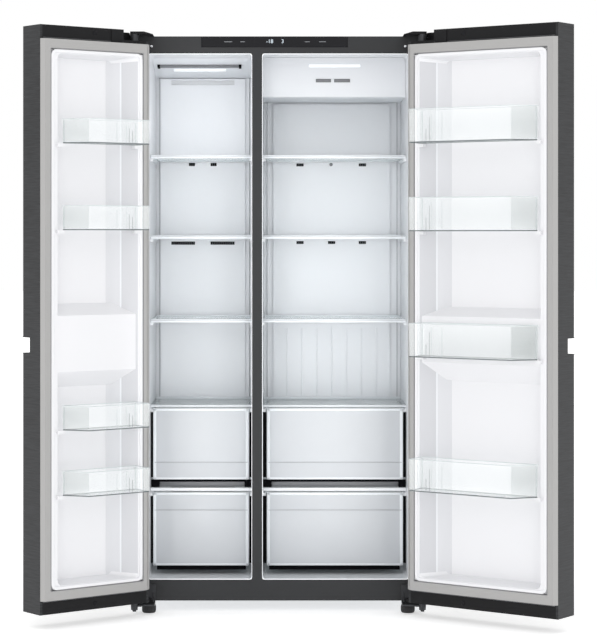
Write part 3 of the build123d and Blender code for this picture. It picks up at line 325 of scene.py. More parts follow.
def blocks(name, place, body, finish, ranges, edge=1.0):
    """Rounded blocks, each given by its limits in x, y and z, as one piece."""
    whole = bmesh.new()
    for x, y, z in ranges:
        shape = bmesh.new()
        bmesh.ops.create_cube(shape, size=1.0)
        size = (x[1] - x[0], y[1] - y[0], z[1] - z[0])
        middle = Vector((sum(x) / 2, sum(y) / 2, sum(z) / 2))
        shape.transform(Matrix.Translation(middle) @ Matrix.Diagonal((*size, 1)))
        radius = min(edge, min(size) * 0.45)
        bmesh.ops.bevel(shape, geom=shape.edges, offset=radius, segments=2, profile=0.5, affect="EDGES")
        single = bpy.data.meshes.new("one")
        shape.to_mesh(single)
        shape.free()
        whole.from_mesh(single)
        bpy.data.meshes.remove(single)
    return add_piece(name, mesh_from(name, whole, place), body, finish)


def fixed(name, finish, ranges, edge):
    """Rounded blocks that stay on the cabinet."""
    return blocks(name, CABINET, "cabinet", finish, ranges, edge)


def lathe(name, place, body, finish, profile, spots, axis=(0, 0, 1), sides=32):
    """Turned shapes, one at each spot: profile gives radius and height along the axis."""
    whole = bmesh.new()
    turn = Vector((0, 0, 1)).rotation_difference(Vector(axis)).to_matrix().to_4x4()
    for spot in spots:
        rings = []
        for radius, height in profile:
            ring = []
            for step in range(sides):
                angle = 2 * math.pi * step / sides
                local = Vector((radius * math.cos(angle), radius * math.sin(angle), height))
                ring.append(whole.verts.new(Vector(spot) + turn @ local))
            rings.append(ring)
        for low, high in zip(rings, rings[1:]):
            for step in range(sides):
                after = (step + 1) % sides
                whole.faces.new((low[step], low[after], high[after], high[step]))
        whole.faces.new(rings[0])
        whole.faces.new(rings[-1])
    return add_piece(name, mesh_from(name, whole, place), body, finish)


def rounded_outline(corners, radius, steps=6):
    """A closed outline with its corners rounded; corners are (x, y) pairs in order."""
    outline = []
    count = len(corners)
    for index, corner in enumerate(corners):
        here = Vector(corner)
        before = (Vector(corners[index - 1]) - here).normalized()
        after = (Vector(corners[(index + 1) % count]) - here).normalized()
        half_angle = before.angle(after) / 2
        reach = radius / math.tan(half_angle)
        centre = here + (before + after).normalized() * (radius / math.sin(half_angle))
        start = here + before * reach - centre
        sweep = (here + after * reach - centre).angle_signed(start)
        for step in range(steps + 1):
            angle = sweep * step / steps
            outline.append(centre + Matrix.Rotation(angle, 2) @ start)
    return outline


def inset_corners(corners, amount):
    """The corners of a convex outline moved inward by an amount."""
    result = []
    count = len(corners)
    middle = sum((Vector(c) for c in corners), Vector((0, 0))) / count
    lines = []
    for index in range(count):
        a, b = Vector(corners[index]), Vector(corners[(index + 1) % count])
        normal = Vector((-(b - a).y, (b - a).x)).normalized()
        if normal.dot(middle - a) < 0:
            normal = -normal
        lines.append((a + normal * amount, (b - a).normalized()))
    for index in range(count):
        (p, d), (q, e) = lines[index - 1], lines[index]
        cross = d.x * e.y - d.y * e.x
        t = ((q.x - p.x) * e.y - (q.y - p.y) * e.x) / cross
        result.append(tuple(p + d * t))
    return result


def layered(name, place, body, finish, corners, radius, levels, closed_ends=True):
    """A closed skin through outlines at several heights: each level is (height, inset)."""
    shape = bmesh.new()
    rings = []
    for height, inset in levels:
        moved = inset_corners(corners, inset)
        outline = rounded_outline(moved, max(0.6, radius - inset))
        rings.append([shape.verts.new((p.x, p.y, height)) for p in outline])
    for low, high in zip(rings, rings[1:]):
        for step in range(len(low)):
            after = (step + 1) % len(low)
            shape.faces.new((low[step], low[after], high[after], high[step]))
    if closed_ends:
        shape.faces.new(rings[0])
        shape.faces.new(rings[-1])
    return add_piece(name, mesh_from(name, shape, place), body, finish)


def facing(loop, axis):
    """The loop of points, turned so that its normal has a positive part along x, y or z (0, 1 or 2)."""
    start = Vector(loop[0])
    corners = zip(loop, loop[1:] + loop[:1])
    normal = sum(((Vector(a) - start).cross(Vector(b) - start) for a, b in corners), Vector((0, 0, 0)))
    return loop if normal[axis] >= 0 else loop[::-1]


def frame_strip(name, place, body, finish, outline, section):
    """A moulded strip along an outline of (x, y, z) points: section gives (out, up) corners.
    out is measured away from the outline in its own plane, up along the plane's normal."""
    shape = bmesh.new()
    count = len(outline)
    points = [Vector(p) for p in outline]
    normal = Vector((0, 0, 0))
    for index in range(count):
        normal += points[index].cross(points[(index + 1) % count])
    normal.normalize()
    rings = []
    for index, point in enumerate(points):
        before, after = points[index - 1], points[(index + 1) % count]
        d_in = (point - before).normalized()
        d_out = (after - point).normalized()
        side_in = d_in.cross(normal)
        side_out = d_out.cross(normal)
        side = (side_in + side_out).normalized()
        stretch = 1 / max(0.4, side.dot(side_in))
        rings.append([shape.verts.new(point + side * (out * stretch) + normal * up) for out, up in section])
    for low, high in zip(rings, rings[1:] + rings[:1]):
        for step in range(len(section)):
            after = (step + 1) % len(section)
            shape.faces.new((low[step], low[after], high[after], high[step]))
    return add_piece(name, mesh_from(name, shape, place), body, finish)


def wire(name, place, body, finish, points, radius):
    """A round rod along points, as a curve."""
    curve = bpy.data.curves.new(name, "CURVE")
    curve.dimensions = "3D"
    spline = curve.splines.new("POLY")
    spline.points.add(len(points) - 1)
    for target, point in zip(spline.points, points):
        target.co = (*(place @ Vector(point)), 1)
    curve.bevel_depth = radius * 0.001
    curve.bevel_resolution = 3
    curve.use_fill_caps = True
    return add_piece(name, curve, body, finish)


def soften(node, width, angle=28):
    """Rounds the sharp edges of a CAD node where it is shown."""
    bevel = frame["nodes"][node].modifiers.new("edges", "BEVEL")
    bevel.width = width * 0.001
    bevel.segments = 2
    bevel.limit_method = "ANGLE"
    bevel.angle_limit = math.radians(angle)
    bevel.use_clamp_overlap = True


# ---------------------------------------------------------------- cabinet: control panel and top
panel_x, panel_y, panel_z = cabinet_range("control_panel")
panel_mid = sum(panel_z) / 2
FACE = panel_y[0]


def flat_text(name, text, x, z, height, finish):
    """Upright characters just in front of the control panel's glass."""
    curve = bpy.data.curves.new(name, "FONT")
    curve.body = text
    curve.size = height * 0.001 * 1.4
    curve.align_x = "CENTER"
    curve.align_y = "CENTER"
    curve.extrude = 0.00006
    piece = bpy.data.objects.new(name, curve)
    bpy.context.scene.collection.objects.link(piece)
    curve.materials.append(MATERIALS[finish])
    piece.matrix_world = (
        Matrix.Translation(CABINET @ Vector((x, FACE - 0.15, z))) @ Matrix.Rotation(math.pi / 2, 4, "X")
    )
    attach(piece, "cabinet")
    return piece


flat_text("freezer_digits", "-18", -27.0, panel_mid + 1, 12.0, "digit_light")
flat_text("fridge_digits", "3", 13.0, panel_mid + 1, 12.0, "digit_light")
dash_spans = ((-168, -143), (-118, -104), (82, 97), (126, 147))
fixed(
    "touch_key_marks",
    "icon_grey",
    [((a, b), (FACE - 0.25, FACE + 0.3), (panel_mid - 0.8, panel_mid + 0.8)) for a, b in dash_spans],
    edge=0.2,
)
fixed(
    "panel_bezel",
    "trim_dark",
    [
        ((panel_x[0] - 2, panel_x[1] + 2), (-1.2, 0.4), (panel_z[0] - 1.2, panel_z[0] + 0.4)),
        ((panel_x[0] - 2, panel_x[0] + 0.4), (-1.2, 0.4), (panel_z[0] - 1, panel_z[1])),
        ((panel_x[1] - 0.4, panel_x[1] + 2), (-1.2, 0.4), (panel_z[0] - 1, panel_z[1])),
    ],
    edge=0.3,
)

# ---------------------------------------------------------------- compartments
OPEN_LOW, OPEN_HIGH = 100.0, 1728.0
cover_x = cabinet_range("evaporator_cover")[0]
duct_x = cabinet_range("air_duct_panel")[0]
SPANS = {
    "freezer": cabinet_range("freezer_liner")[0],
    "fridge": cabinet_range("fridge_liner")[0],
}
WALL = 2.0
INNER = {name: (x[0] + WALL, x[1] - WALL) for name, x in SPANS.items()}

for name, (low, high) in INNER.items():
    corners = [(low, OPEN_LOW), (high, OPEN_LOW), (high, OPEN_HIGH), (low, OPEN_HIGH)]
    outline = [(p.x, 0.0, p.y) for p in rounded_outline(corners, 6.0)]
    frame_strip(
        f"{name}_mouth_lip",
        CABINET,
        "cabinet",
        "lip_white_glow",
        outline,
        [(0.8, 0.12), (-0.4, 0.12), (-0.6, -0.3), (-0.6, -9.0), (-0.2, -9.0), (-0.1, -1.0), (0.8, -0.6)],
    )

# dark outlets on the two back panels: black blocks inside them are painted shadow
PANEL_FRONT = 420.0
VENTS = {
    "freezer": [
        ((-294, -274), (1393, 1404)),
        ((-223, -203), (1393, 1404)),
        ((-352, -274), (1134.5, 1145.5)),
        ((-223, -144), (1134.5, 1145.5)),
    ],
    "fridge": [
        ((59, 83), (1392, 1402)),
        ((264, 288), (1392, 1402)),
        ((59, 83), (1137, 1147)),
        ((264, 288), (1137, 1147)),
        ((163, 187), (1137, 1147)),
    ],
}
for name, vents in VENTS.items():
    fixed(
        f"{name}_outlet_shadows",
        "shadow_black",
        [
            ((x[0] + 0.3, x[1] - 0.3), (PANEL_FRONT + 2.5, PANEL_FRONT + 7), (z[0] + 0.3, z[1] - 0.3))
            for x, z in vents
        ],
        edge=0.5,
    )
    bars = []
    for x, z in vents:
        count = max(3, round((x[1] - x[0]) / 6))
        for step in range(1, count):
            middle = x[0] + (x[1] - x[0]) * step / count
            y = (PANEL_FRONT + 1.4, PANEL_FRONT + 3)
            bars.append(((middle - 0.5, middle + 0.5), y, (z[0] + 0.4, z[1] - 0.4)))
    fixed(f"{name}_outlet_bars", "grey_trim", bars, edge=0.2)

# thin grey lines along both sides of the panels' raised middle
PANEL_EDGES = {"freezer": (cover_x, 12.0, (636, 1683)), "fridge": (duct_x, 12.0, (636, 1602))}
for name, (span, step, heights) in PANEL_EDGES.items():
    lines = []
    for x in (span[0] + step, span[1] - step):
        lines.append(((x - 0.9, x + 0.9), (PANEL_FRONT - 0.5, PANEL_FRONT + 2), heights))
    fixed(f"{name}_panel_relief_lines", "icon_grey", lines, edge=0.3)

fixed(
    "fridge_low_outlets",
    "panel_white",
    [
        ((x[0] + 0.5, x[1] - 0.5), (PANEL_FRONT + 2, PANEL_FRONT + 6), (877.5, 883.5))
        for x in ((64, 132), (220, 293))
    ],
    edge=0.6,
)
fixed(
    "housing_outlets",
    "grey_trim",
    [((x[0] + 0.5, x[1] - 0.5), (152.2, 154.5), (1650, 1660.5)) for x in ((118, 167), (176, 227))],
    edge=0.6,
)
fixed(
    "duct_ribs",
    "panel_white",
    [((x - 2.2, x + 2.2), (PANEL_FRONT - 2.4, PANEL_FRONT + 1), (640, 861)) for x in range(28, 341, 49)],
    edge=1.6,
)
# the shallow inset on the freezer's back panel, greyer as painted shade
fixed(
    "freezer_panel_inset",
    "panel_inset_shade",
    [((-351.5, -144.5), (PANEL_FRONT + 0.8, PANEL_FRONT + 1.9), (1659.5, 1674.5))],
    edge=0.4,
)
lathe(
    "sensor_nub",
    CABINET,
    "cabinet",
    "grey_trim",
    [(5.5, 0), (5.5, 2.5), (3.0, 4.0), (0.6, 4.4)],
    [(173, PANEL_FRONT, 1398)],
    axis=(0, -1, 0),
)

# the freezer's ceiling slot lies on the slope between the mouth and the back panel
SLOPE_START, SLOPE_END = Vector((0, 167.0, 1727.5)), Vector((0, 420.0, 1683.0))
slope = SLOPE_END - SLOPE_START
slope_angle = math.atan2(slope.z, slope.y)
slope_frame = CABINET @ Matrix.Translation(SLOPE_START) @ Matrix.Rotation(slope_angle, 4, "X")
blocks(
    "ceiling_slot",
    slope_frame,
    "cabinet",
    "grey_trim",
    [((-384, -123), (82, 104), (-6.0, 0.6))],
    edge=0.8,
)
blocks(
    "ceiling_slot_ends",
    slope_frame,
    "cabinet",
    "shadow_black",
    [((-388, -380), (80, 106), (-8.0, 0.6)), ((-127, -119), (80, 106), (-8.0, 0.6))],
    edge=0.8,
)

# ---------------------------------------------------------------- shelves
for name in ("freezer", "fridge"):
    for index in (1, 2, 3):
        body = f"{name}_shelf_{index}"
        x, y, z = cabinet_range(body)
        blocks(
            f"{body}_trims",
            CABINET,
            body,
            "shelf_trim",
            [
                ((x[0] + 0.4, x[1] - 0.4), (y[0] - 1.2, y[0] + 13), (z[0] - 1.0, z[1] + 0.8)),
                ((x[0] + 0.4, x[1] - 0.4), (y[1] - 11, y[1] - 0.3), (z[0] + 0.5, z[1] + 3.0)),
                ((x[0] + 0.2, x[0] + 7), (y[0] + 12, y[1] - 10), (z[0] + 0.5, z[1] + 0.6)),
                ((x[1] - 7, x[1] - 0.2), (y[0] + 12, y[1] - 10), (z[0] + 0.5, z[1] + 0.6)),
            ],
            edge=1.4,
        )
        blocks(
            f"{body}_front_line",
            CABINET,
            body,
            "icon_grey",
            [((x[0] + 1.5, x[1] - 1.5), (y[0] - 1.6, y[0] + 1), (z[1] - 3.2, z[1] - 2.0))],
            edge=0.3,
        )

for name, (low, high) in INNER.items():
    fixed(
        f"{name}_cover_trim",
        "shelf_trim",
        [
            ((low + 0.7, high - 0.7), (98.6, 112), (626.6, 633.2)),
            ((low + 0.7, high - 0.7), (404, 414), (627, 636)),
        ],
        edge=1.4,
    )
    fixed(
        f"{name}_cover_line",
        "icon_grey",
        [((low + 2, high - 2), (98.2, 100), (631.4, 632.8))],
        edge=0.3,
    )
    fixed(
        f"{name}_cross_rail",
        "liner_white",
        [((low + 0.8, high - 0.8), (98.5, 110), (362.2, 372.2))],
        edge=1.8,
    )

# ---------------------------------------------------------------- drawers
DRAWER_WALL = 2.4
for name in ("freezer", "fridge"):
    low, high = INNER[name]
    for level_name, grip_low in (("upper", True), ("lower", False)):
        body = f"{name}_{level_name}_drawer"
        x, y, z = cabinet_range(body)
        # the CAD box includes the side rims
        x = (x[0] + 6.0, x[1] - 6.0)
        corners = [(x[0], y[0]), (x[1], y[0]), (x[1], y[1]), (x[0], y[1])]
        w = DRAWER_WALL
        bin_ = layered(
            f"{body}_bin",
            CABINET,
            body,
            "clear_plastic",
            corners,
            9.0,
            [
                (z[0], 9.0),
                (z[0], 12.0),
                (z[0] + w, 12.0),
                (z[0] + w + 1.5, 8.5),
                (z[0] + 8, 5.0),
                (z[1] - 5, w),
                (z[1] - 0.6, w),
                (z[1], w - 0.6),
                (z[1], 0.4),
                (z[1] - 1.0, 0.0),
                (z[1] - 5, 0.0),
                (z[0] + 8, 3.0),
            ],
            closed_ends=False,
        )
        # floor of the bin
        layered(
            f"{body}_floor",
            CABINET,
            body,
            "drawer_face",
            corners,
            9.0,
            [(z[0] + 0.2, 11.0), (z[0] + w, 10.0), (z[0] + w, 11.5)],
        )
        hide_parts(body)
        face_y = (y[0], y[0] + 3.6)
        blocks(
            f"{body}_face",
            CABINET,
            body,
            "drawer_face",
            [((x[0] + 9, x[1] - 9), face_y, (z[0] + 7, z[1] - 9))],
            edge=1.4,
        )
        blocks(
            f"{body}_face_frame",
            CABINET,
            body,
            "drawer_trim",
            [
                ((x[0], x[0] + 10), (y[0] - 0.8, y[0] + 5), (z[0] + 2, z[1] - 3)),
                ((x[1] - 10, x[1]), (y[0] - 0.8, y[0] + 5), (z[0] + 2, z[1] - 3)),
                ((x[0] + 1, x[1] - 1), (y[0] - 0.8, y[0] + 5), (z[0] + 1, z[0] + 8)),
                ((x[0] + 1, x[1] - 1), (y[0] - 0.8, y[0] + 6), (z[1] - 10, z[1] - 0.5)),
            ],
            edge=1.6,
        )
        # stepped grip band
        band = (z[0] + 8, z[0] + 55) if grip_low else (z[1] - 57, z[1] - 10)
        step_z = band[1] if grip_low else band[0]
        blocks(
            f"{body}_grip",
            CABINET,
            body,
            "drawer_face",
            [((x[0] + 9, x[1] - 9), (y[0] + 0.6, y[0] + 5.4), band)],
            edge=1.2,
        )
        blocks(
            f"{body}_grip_lines",
            CABINET,
            body,
            "icon_grey",
            [((x[0] + 4, x[1] - 4), (y[0] - 1.0, y[0] + 0.4), (step_z - 0.8, step_z + 0.8))],
            edge=0.4,
        )
        blocks(
            f"{body}_rims",
            CABINET,
            body,
            "drawer_trim",
            [
                ((x[0] - 6, x[0] + 3), (y[0] + 12, y[1] - 12), (z[1] - 4, z[1])),
                ((x[1] - 3, x[1] + 6), (y[0] + 12, y[1] - 12), (z[1] - 4, z[1])),
            ],
            edge=1.2,
        )
        blocks(
            f"{body}_edge_lines",
            CABINET,
            body,
            "grey_trim",
            [
                ((x[0] + 3, x[1] - 3), (y[0] - 1.1, y[0] + 2), (z[1] - 1.9, z[1] - 0.6)),
                ((x[0] - 0.6, x[0] + 0.9), (y[0] + 0.5, y[0] + 4), (z[0] + 4, z[1] - 4)),
                ((x[1] - 0.9, x[1] + 0.6), (y[0] + 0.5, y[0] + 4), (z[0] + 4, z[1] - 4)),
            ],
            edge=0.5,
        )
    # dark strips beside the drawers and a dark gap under each: painted shadow where the gaps are shaded
    upper_z, lower_z = cabinet_range(f"{name}_upper_drawer")[2], cabinet_range(f"{name}_lower_drawer")[2]
    dx = cabinet_range(f"{name}_upper_drawer")[0]
    gap_left, gap_right = (low + 0.8, dx[0] + 4.0), (dx[1] - 4.0, high - 0.8)
    painted_gap_shadows = []
    for z in (upper_z, lower_z):
        for gap in (gap_left, gap_right):
            painted_gap_shadows.append((gap, (112, 124), (z[0] + 6, z[1] - 16)))
    fixed(f"{name}_drawer_side_shadows", "shadow_black", painted_gap_shadows, edge=1.0)
    fixed(
        f"{name}_drawer_gap",
        "grey_trim",
        [((low + 1, high - 1), (122, 126), (373, 396))],
        edge=1.0,
    )
    fixed(
        f"{name}_drawer_gap_shade",
        "shadow_black",
        [
            ((low + 1, high - 1), (112, 123), (390, 396.5)),
            ((low + 1, low + 28), (110, 123), (373, 391)),
            ((high - 24, high - 1), (110, 123), (373, 391)),
            ((low + 20, high - 20), (108, 118), (114, 125.5)),
        ],
        edge=1.0,
    )

# ---------------------------------------------------------------- doors
GASKET_BAND = 28.0
SEAL_BEAD = [(-1.6, -2), (1.6, -2), (1.6, 0.0), (0.8, 0.3), (-0.8, 0.3), (-1.6, 0.0)]
# plan of the grey sheets on the liner's slope, which falls from (29, 66) to (100, 20); their greyer tones are
# painted shade
SHADED_SLOPE_WALL = [(31, 64.9), (73, 37.7), (73.5, 38.5), (31.5, 65.9)]
SHADED_SLOPE_STEP = [(77, 35.1), (99.6, 20.5), (118, 20.1), (118, 20.6), (100, 21.4), (77.5, 35.9)]
SLOPE_RIDGE = [(73, 37.6), (77, 35.0), (77.8, 36.2), (73.8, 38.9)]
RECESS_END = 84.5
BASKET_R = 3.0
BASKET_WALL = 2.3
# the CAD basket's acute corner is rounded more, which takes this much off its length
CORNER_CUT = 4.0
for door, place in DOORS.items():
    body = f"{door}_door"
    skin_x, skin_y, skin_z = door_range(f"{door}_door_shell", door)
    seal_x, seal_y, seal_z = door_range(f"{door}_door_gasket", door)
    cap_low, cap_high = door_range(f"{door}_door_caps", door)[2]
    for node, width in ((f"{door}_door_liner", 2.2), (f"{door}_door_caps", 0.8)):
        soften(node, width)

    # bellows of the seal: a groove along its inner side, darker grey as painted shade, and a bead beside it
    inner = [
        (seal_x[0] + GASKET_BAND, seal_z[0] + GASKET_BAND),
        (seal_x[1] - GASKET_BAND, seal_z[0] + GASKET_BAND),
        (seal_x[1] - GASKET_BAND, seal_z[1] - GASKET_BAND),
        (seal_x[0] + GASKET_BAND, seal_z[1] - GASKET_BAND),
    ]
    for label, finish, shift, section in (
        ("seal_groove", "gasket_groove_shade", -0.4, [(-1.4, -9), (0.9, -9), (0.9, 0.25), (-1.4, 0.25)]),
        ("seal_bead", "gasket_grey", -6.0, SEAL_BEAD),
        ("seal_crease", "gasket_grey", -17.0, [(-0.7, -2), (0.7, -2), (0.7, 0.15), (-0.7, 0.15)]),
    ):
        moved = inset_corners(inner, shift)
        loop = [(p.x, seal_y[1], p.y) for p in rounded_outline(moved, 2.0, steps=2)]
        frame_strip(f"{door}_{label}", place, body, finish, facing(loop, 1), section)

    # raised lip of the liner, just inside the seal
    lip = [(p.x, seal_y[1], p.y) for p in rounded_outline(inset_corners(inner, 7.0), 14.0, steps=5)]
    frame_strip(
        f"{door}_liner_lip",
        place,
        body,
        "door_white_dimmed",
        facing(lip, 1),
        [(-5.0, -4.5), (5.0, -4.5), (5.0, -1.6), (3.6, -0.3), (-3.6, -0.3), (-5.0, -1.6)],
    )

    # grey sheets on the liner's slope beside the hinge, painted shade on its wall and its step, and a white
    # ridge between them
    z_ends = (cap_low + RECESS_END, cap_high - RECESS_END)
    for label, finish, lay in (
        ("shaded_slope_wall", "door_wall_shade", SHADED_SLOPE_WALL),
        ("shaded_slope_step", "door_step_shade", SHADED_SLOPE_STEP),
        ("slope_ridge", "panel_white", SLOPE_RIDGE),
    ):
        shape = bmesh.new()
        rings = [[shape.verts.new((px, py, z)) for px, py in lay] for z in z_ends]
        for step in range(len(lay)):
            after = (step + 1) % len(lay)
            shape.faces.new((rings[0][step], rings[0][after], rings[1][after], rings[1][step]))
        shape.faces.new(rings[0])
        shape.faces.new(rings[1])
        add_piece(f"{door}_{label}", mesh_from(label, shape, place), body, finish)

    # screw plugs and seams on the end caps
    lathe(
        f"{door}_cap_plugs",
        place,
        body,
        "trim_dark",
        [(7.0, 0), (7.0, 0.9), (6.0, 1.6), (2.0, 1.9)],
        [(180.0, skin_y[1] - 0.3, cap_high - 16), (180.0, skin_y[1] - 0.3, cap_low + 18)],
        axis=(0, 1, 0),
    )
    seam_y = (skin_y[1] - 0.2, skin_y[1] + 0.5)
    blocks(
        f"{door}_cap_lines",
        place,
        body,
        "grey_trim",
        [
            ((skin_x[0] + 92, skin_x[1] - 10), seam_y, (cap_high - 38.4, cap_high - 37.4)),
            ((skin_x[0] + 10, skin_x[1] - 10), seam_y, (cap_low + 37.4, cap_low + 38.4)),
        ],
        edge=0.3,
    )
    # thicker end of the top cap, beside the hinge
    blocks(
        f"{door}_cap_block",
        place,
        body,
        "cap_black",
        [((80, 122), (skin_y[1] - 0.5, skin_y[1] + 2.6), (cap_high - 41, cap_high - 0.6))],
        edge=1.2,
    )
    # stop plate under the door
    blocks(
        f"{door}_stop_plate",
        place,
        body,
        "hinge_steel",
        [
            ((12, 46), (-16, 16), (skin_z[0] - 3.2, skin_z[0] + 0.4)),
            ((38, 46), (-10, 10), (skin_z[0] - 9, skin_z[0])),
        ],
        edge=0.8,
    )
    # a lighter grey line where the skin turns in beside the seal: a painted highlight on the bend
    hem_y = (skin_y[1] - 0.6, skin_y[1] + 0.35)
    blocks(
        f"{door}_hem_highlight",
        place,
        body,
        "grey_trim",
        [((skin_x[1] - 8.4, skin_x[1] - 7.2), hem_y, (cap_low + 42, cap_high - 42))],
        edge=0.2,
    )

    # ------------------------------------------------------------ baskets
    for index in (1, 2, 3, 4):
        bin_body = f"{door}_basket_{index}"
        x, y, z = door_range(bin_body, door)
        points = [place.inverted() @ vertex.co for vertex in frame["nodes"][bin_body].data.vertices]
        front_x = max(p.x for p in points if p.y > y[1] - 0.5)
        corners = [(x[0], y[0]), (x[1] + CORNER_CUT, y[0]), (front_x, y[1]), (x[0], y[1])]
        w = BASKET_WALL
        piece = layered(
            f"{bin_body}_walls",
            place,
            bin_body,
            "clear_plastic",
            corners,
            BASKET_R,
            [
                (z[0] + 1.5, 3.0),
                (z[0] + 5.0, 2.2),
                (z[1] - 12.0, 1.4),
                (z[1] - 10.5, 0.2),
                (z[1] - 0.6, 0.0),
                (z[1], 0.5),
                (z[1], w - 0.4),
                (z[1] - 0.6, w),
                (z[1] - 10.0, w + 0.4),
                (z[0] + 5.0, 2.2 + w),
                (z[0] + 2.6, 3.4 + w),
            ],
            closed_ends=False,
        )
        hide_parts(bin_body)
        layered(
            f"{bin_body}_base",
            place,
            bin_body,
            "clear_base",
            corners,
            BASKET_R,
            [(z[0] + 0.2, 4.0), (z[0] + 1.4, 2.9), (z[0] + 2.8, 3.2), (z[0] + 2.8, 5.0)],
        )
        rim = inset_corners(corners, 1.2)
        rim_loop = [(p.x, p.y, z[1]) for p in rounded_outline(rim, 3.0)]
        frame_strip(
            f"{bin_body}_rim",
            place,
            bin_body,
            "clear_edge",
            facing(rim_loop, 2),
            [(-1.3, -1.6), (1.1, -1.6), (1.2, -0.2), (0.5, 0.2), (-1.0, 0.2)],
        )
        foot = inset_corners(corners, 2.9)
        foot_loop = [(p.x, p.y, z[0] + 1.4) for p in rounded_outline(foot, 2.5)]
        frame_strip(
            f"{bin_body}_foot_line",
            place,
            bin_body,
            "edge_dark",
            facing(foot_loop, 2),
            [(-1.0, -1.5), (0.9, -1.5), (1.1, 1.6), (-1.0, 1.6)],
        )
        blocks(
            f"{bin_body}_ribs",
            place,
            bin_body,
            "edge_dark",
            [
                ((x[0] + 62, x[0] + 63), (y[1] - 4.2, y[1] - 3.0), (z[0] + 4, z[0] + 40)),
                ((x[0] + 74, x[0] + 74.9), (y[1] - 4.2, y[1] - 3.0), (z[0] + 4, z[1] - 26)),
            ],
            edge=0.3,
        )
        # a darker sheet inside the slanted free end: painted shade that darkens it
        end_low, end_high = Vector((x[1] + CORNER_CUT, y[0])), Vector((front_x, y[1]))
        run = (end_high - end_low).normalized()
        across = Vector((-run.y, run.x))
        facet = [
            end_low + run * 5 + across * 3.4,
            end_high - run * 3 + across * 3.4,
            end_high - run * 3 + across * 4.6,
            end_low + run * 5 + across * 4.6,
        ]
        layered(
            f"{bin_body}_end_shade_skin",
            place,
            bin_body,
            "clear_facet_shade",
            [(p.x, p.y) for p in facet],
            0.5,
            [(z[0] + 5, 0.0), (z[1] - 3, 0.0)],
        )
        # end lugs that sit on the bosses, and inner ribs
        blocks(
            f"{bin_body}_lugs",
            place,
            bin_body,
            "clear_edge",
            [
                ((x[0] + 0.6, x[0] + 3.6), (y[0] + 3, y[0] + 7), (z[0] + 3, z[1] - 4)),
                ((x[0] + 32, x[0] + 33.4), (y[0] + 1, y[0] + 3.4), (z[0] + 6, z[1] - 14)),
                ((x[0] + 118, x[0] + 119.4), (y[1] - 4.2, y[1] - 2.6), (z[0] + 6, z[1] - 12)),
                ((x[1] - 6.5, x[1] - 4), (y[0] + 3, y[0] + 7), (z[0] + 3, z[1] - 4)),
            ],
            edge=0.6,
        )

# ---------------------------------------------------------------- hinges and supports
FOOT_X, FOOT_Y = 400.0, -14.0
GRIP_R = 20.6
THREAD_R, THREAD_LOW, THREAD_H, THREAD_STEPS = 4.75, 32.2, 9.0, 72
for sign, door in ((-1, "left"), (1, "right")):
    body = f"{door}_foot"
    ribs = []
    for angle in [math.radians(a) for a in range(0, 360, 15)]:
        cx = sign * FOOT_X + GRIP_R * math.cos(angle)
        cy = FOOT_Y + GRIP_R * math.sin(angle)
        ribs.append(((cx - 1.2, cx + 1.2), (cy - 1.2, cy + 1.2), (6, 20)))
    blocks(f"{door}_foot_grip", CABINET, body, "foot_black", ribs, edge=0.8)
    thread = [
        (
            sign * FOOT_X + THREAD_R * math.cos(step * math.pi / 6),
            FOOT_Y + THREAD_R * math.sin(step * math.pi / 6),
            THREAD_LOW + step * THREAD_H / THREAD_STEPS,
        )
        for step in range(THREAD_STEPS)
    ]
    wire(f"{door}_foot_thread", CABINET, body, "bright_steel", thread, 0.28)
    # gusset and screws of the bottom hinge, cap screws on the top cover
    fixed(
        f"{door}_hinge_gusset",
        "hinge_steel",
        [
            (sorted((sign * 386.0, sign * 389.0)), (-12, -2.5), (31, 60)),
            (sorted((sign * 386.0, sign * 389.0)), (-24, -11), (31, 44)),
        ],
        edge=1.2,
    )
    lathe(
        f"{door}_hinge_screws",
        CABINET,
        "cabinet",
        "bright_steel",
        [(5.0, 0), (5.0, 1.2), (4.2, 2.4), (1.6, 2.8), (1.4, 1.6)],
        [(sign * 410.0, -3.0, 70.0), (sign * 436.0, -3.0, 70.0)],
        axis=(0, -1, 0),
        sides=20,
    )
    lathe(
        f"{door}_rail_stud",
        CABINET,
        "cabinet",
        "bright_steel",
        [(4.5, 0), (4.5, 3.0), (3.8, 4.4), (1.0, 4.8)],
        [(sign * 393.0, 0.0, 1751.0)],
        axis=(0, -1, 0),
        sides=20,
    )
    lathe(
        f"{door}_cover_screw",
        CABINET,
        "cabinet",
        "bright_steel",
        [(4.6, -2.5), (4.6, -0.6), (3.8, -0.3), (1.5, -0.3), (1.2, -1.2)],
        [(sign * 430.0, 70.0, 1790.0), (sign * 430.0, -10.0, 1790.0)],
        sides=20,
    )
soften("hinge_covers", 1.0)

# ---------------------------------------------------------------- back of the cabinet
BEAD_HALF, BEAD_LOW, BEAD_HIGH = 110, 330, 1650
for index, x in enumerate((-300, 0, 300), 1):
    left, right = x - BEAD_HALF, x + BEAD_HALF
    corners = [(left, BEAD_LOW), (right, BEAD_LOW), (right, BEAD_HIGH), (left, BEAD_HIGH)]
    outline = [(p.x, DEPTH, p.y) for p in rounded_outline(corners, 30.0)]
    frame_strip(
        f"back_bead_{index}",
        CABINET,
        "cabinet",
        "galvanised",
        outline,
        [(-5, -0.2), (-3.2, 1.5), (3.2, 1.5), (5, -0.2), (5, -0.9), (-5, -0.9)],
    )
lathe(
    "foam_plugs",
    CABINET,
    "cabinet",
    "tray_grey",
    [(14, 0), (14, 1.6), (11, 2.6), (2, 2.8)],
    [(-420, DEPTH, 700), (420, DEPTH, 700)],
    axis=(0, 1, 0),
)
screw_spots = [(x, DEPTH, z) for x in (-440, -150, 150, 440) for z in (240, 262)]
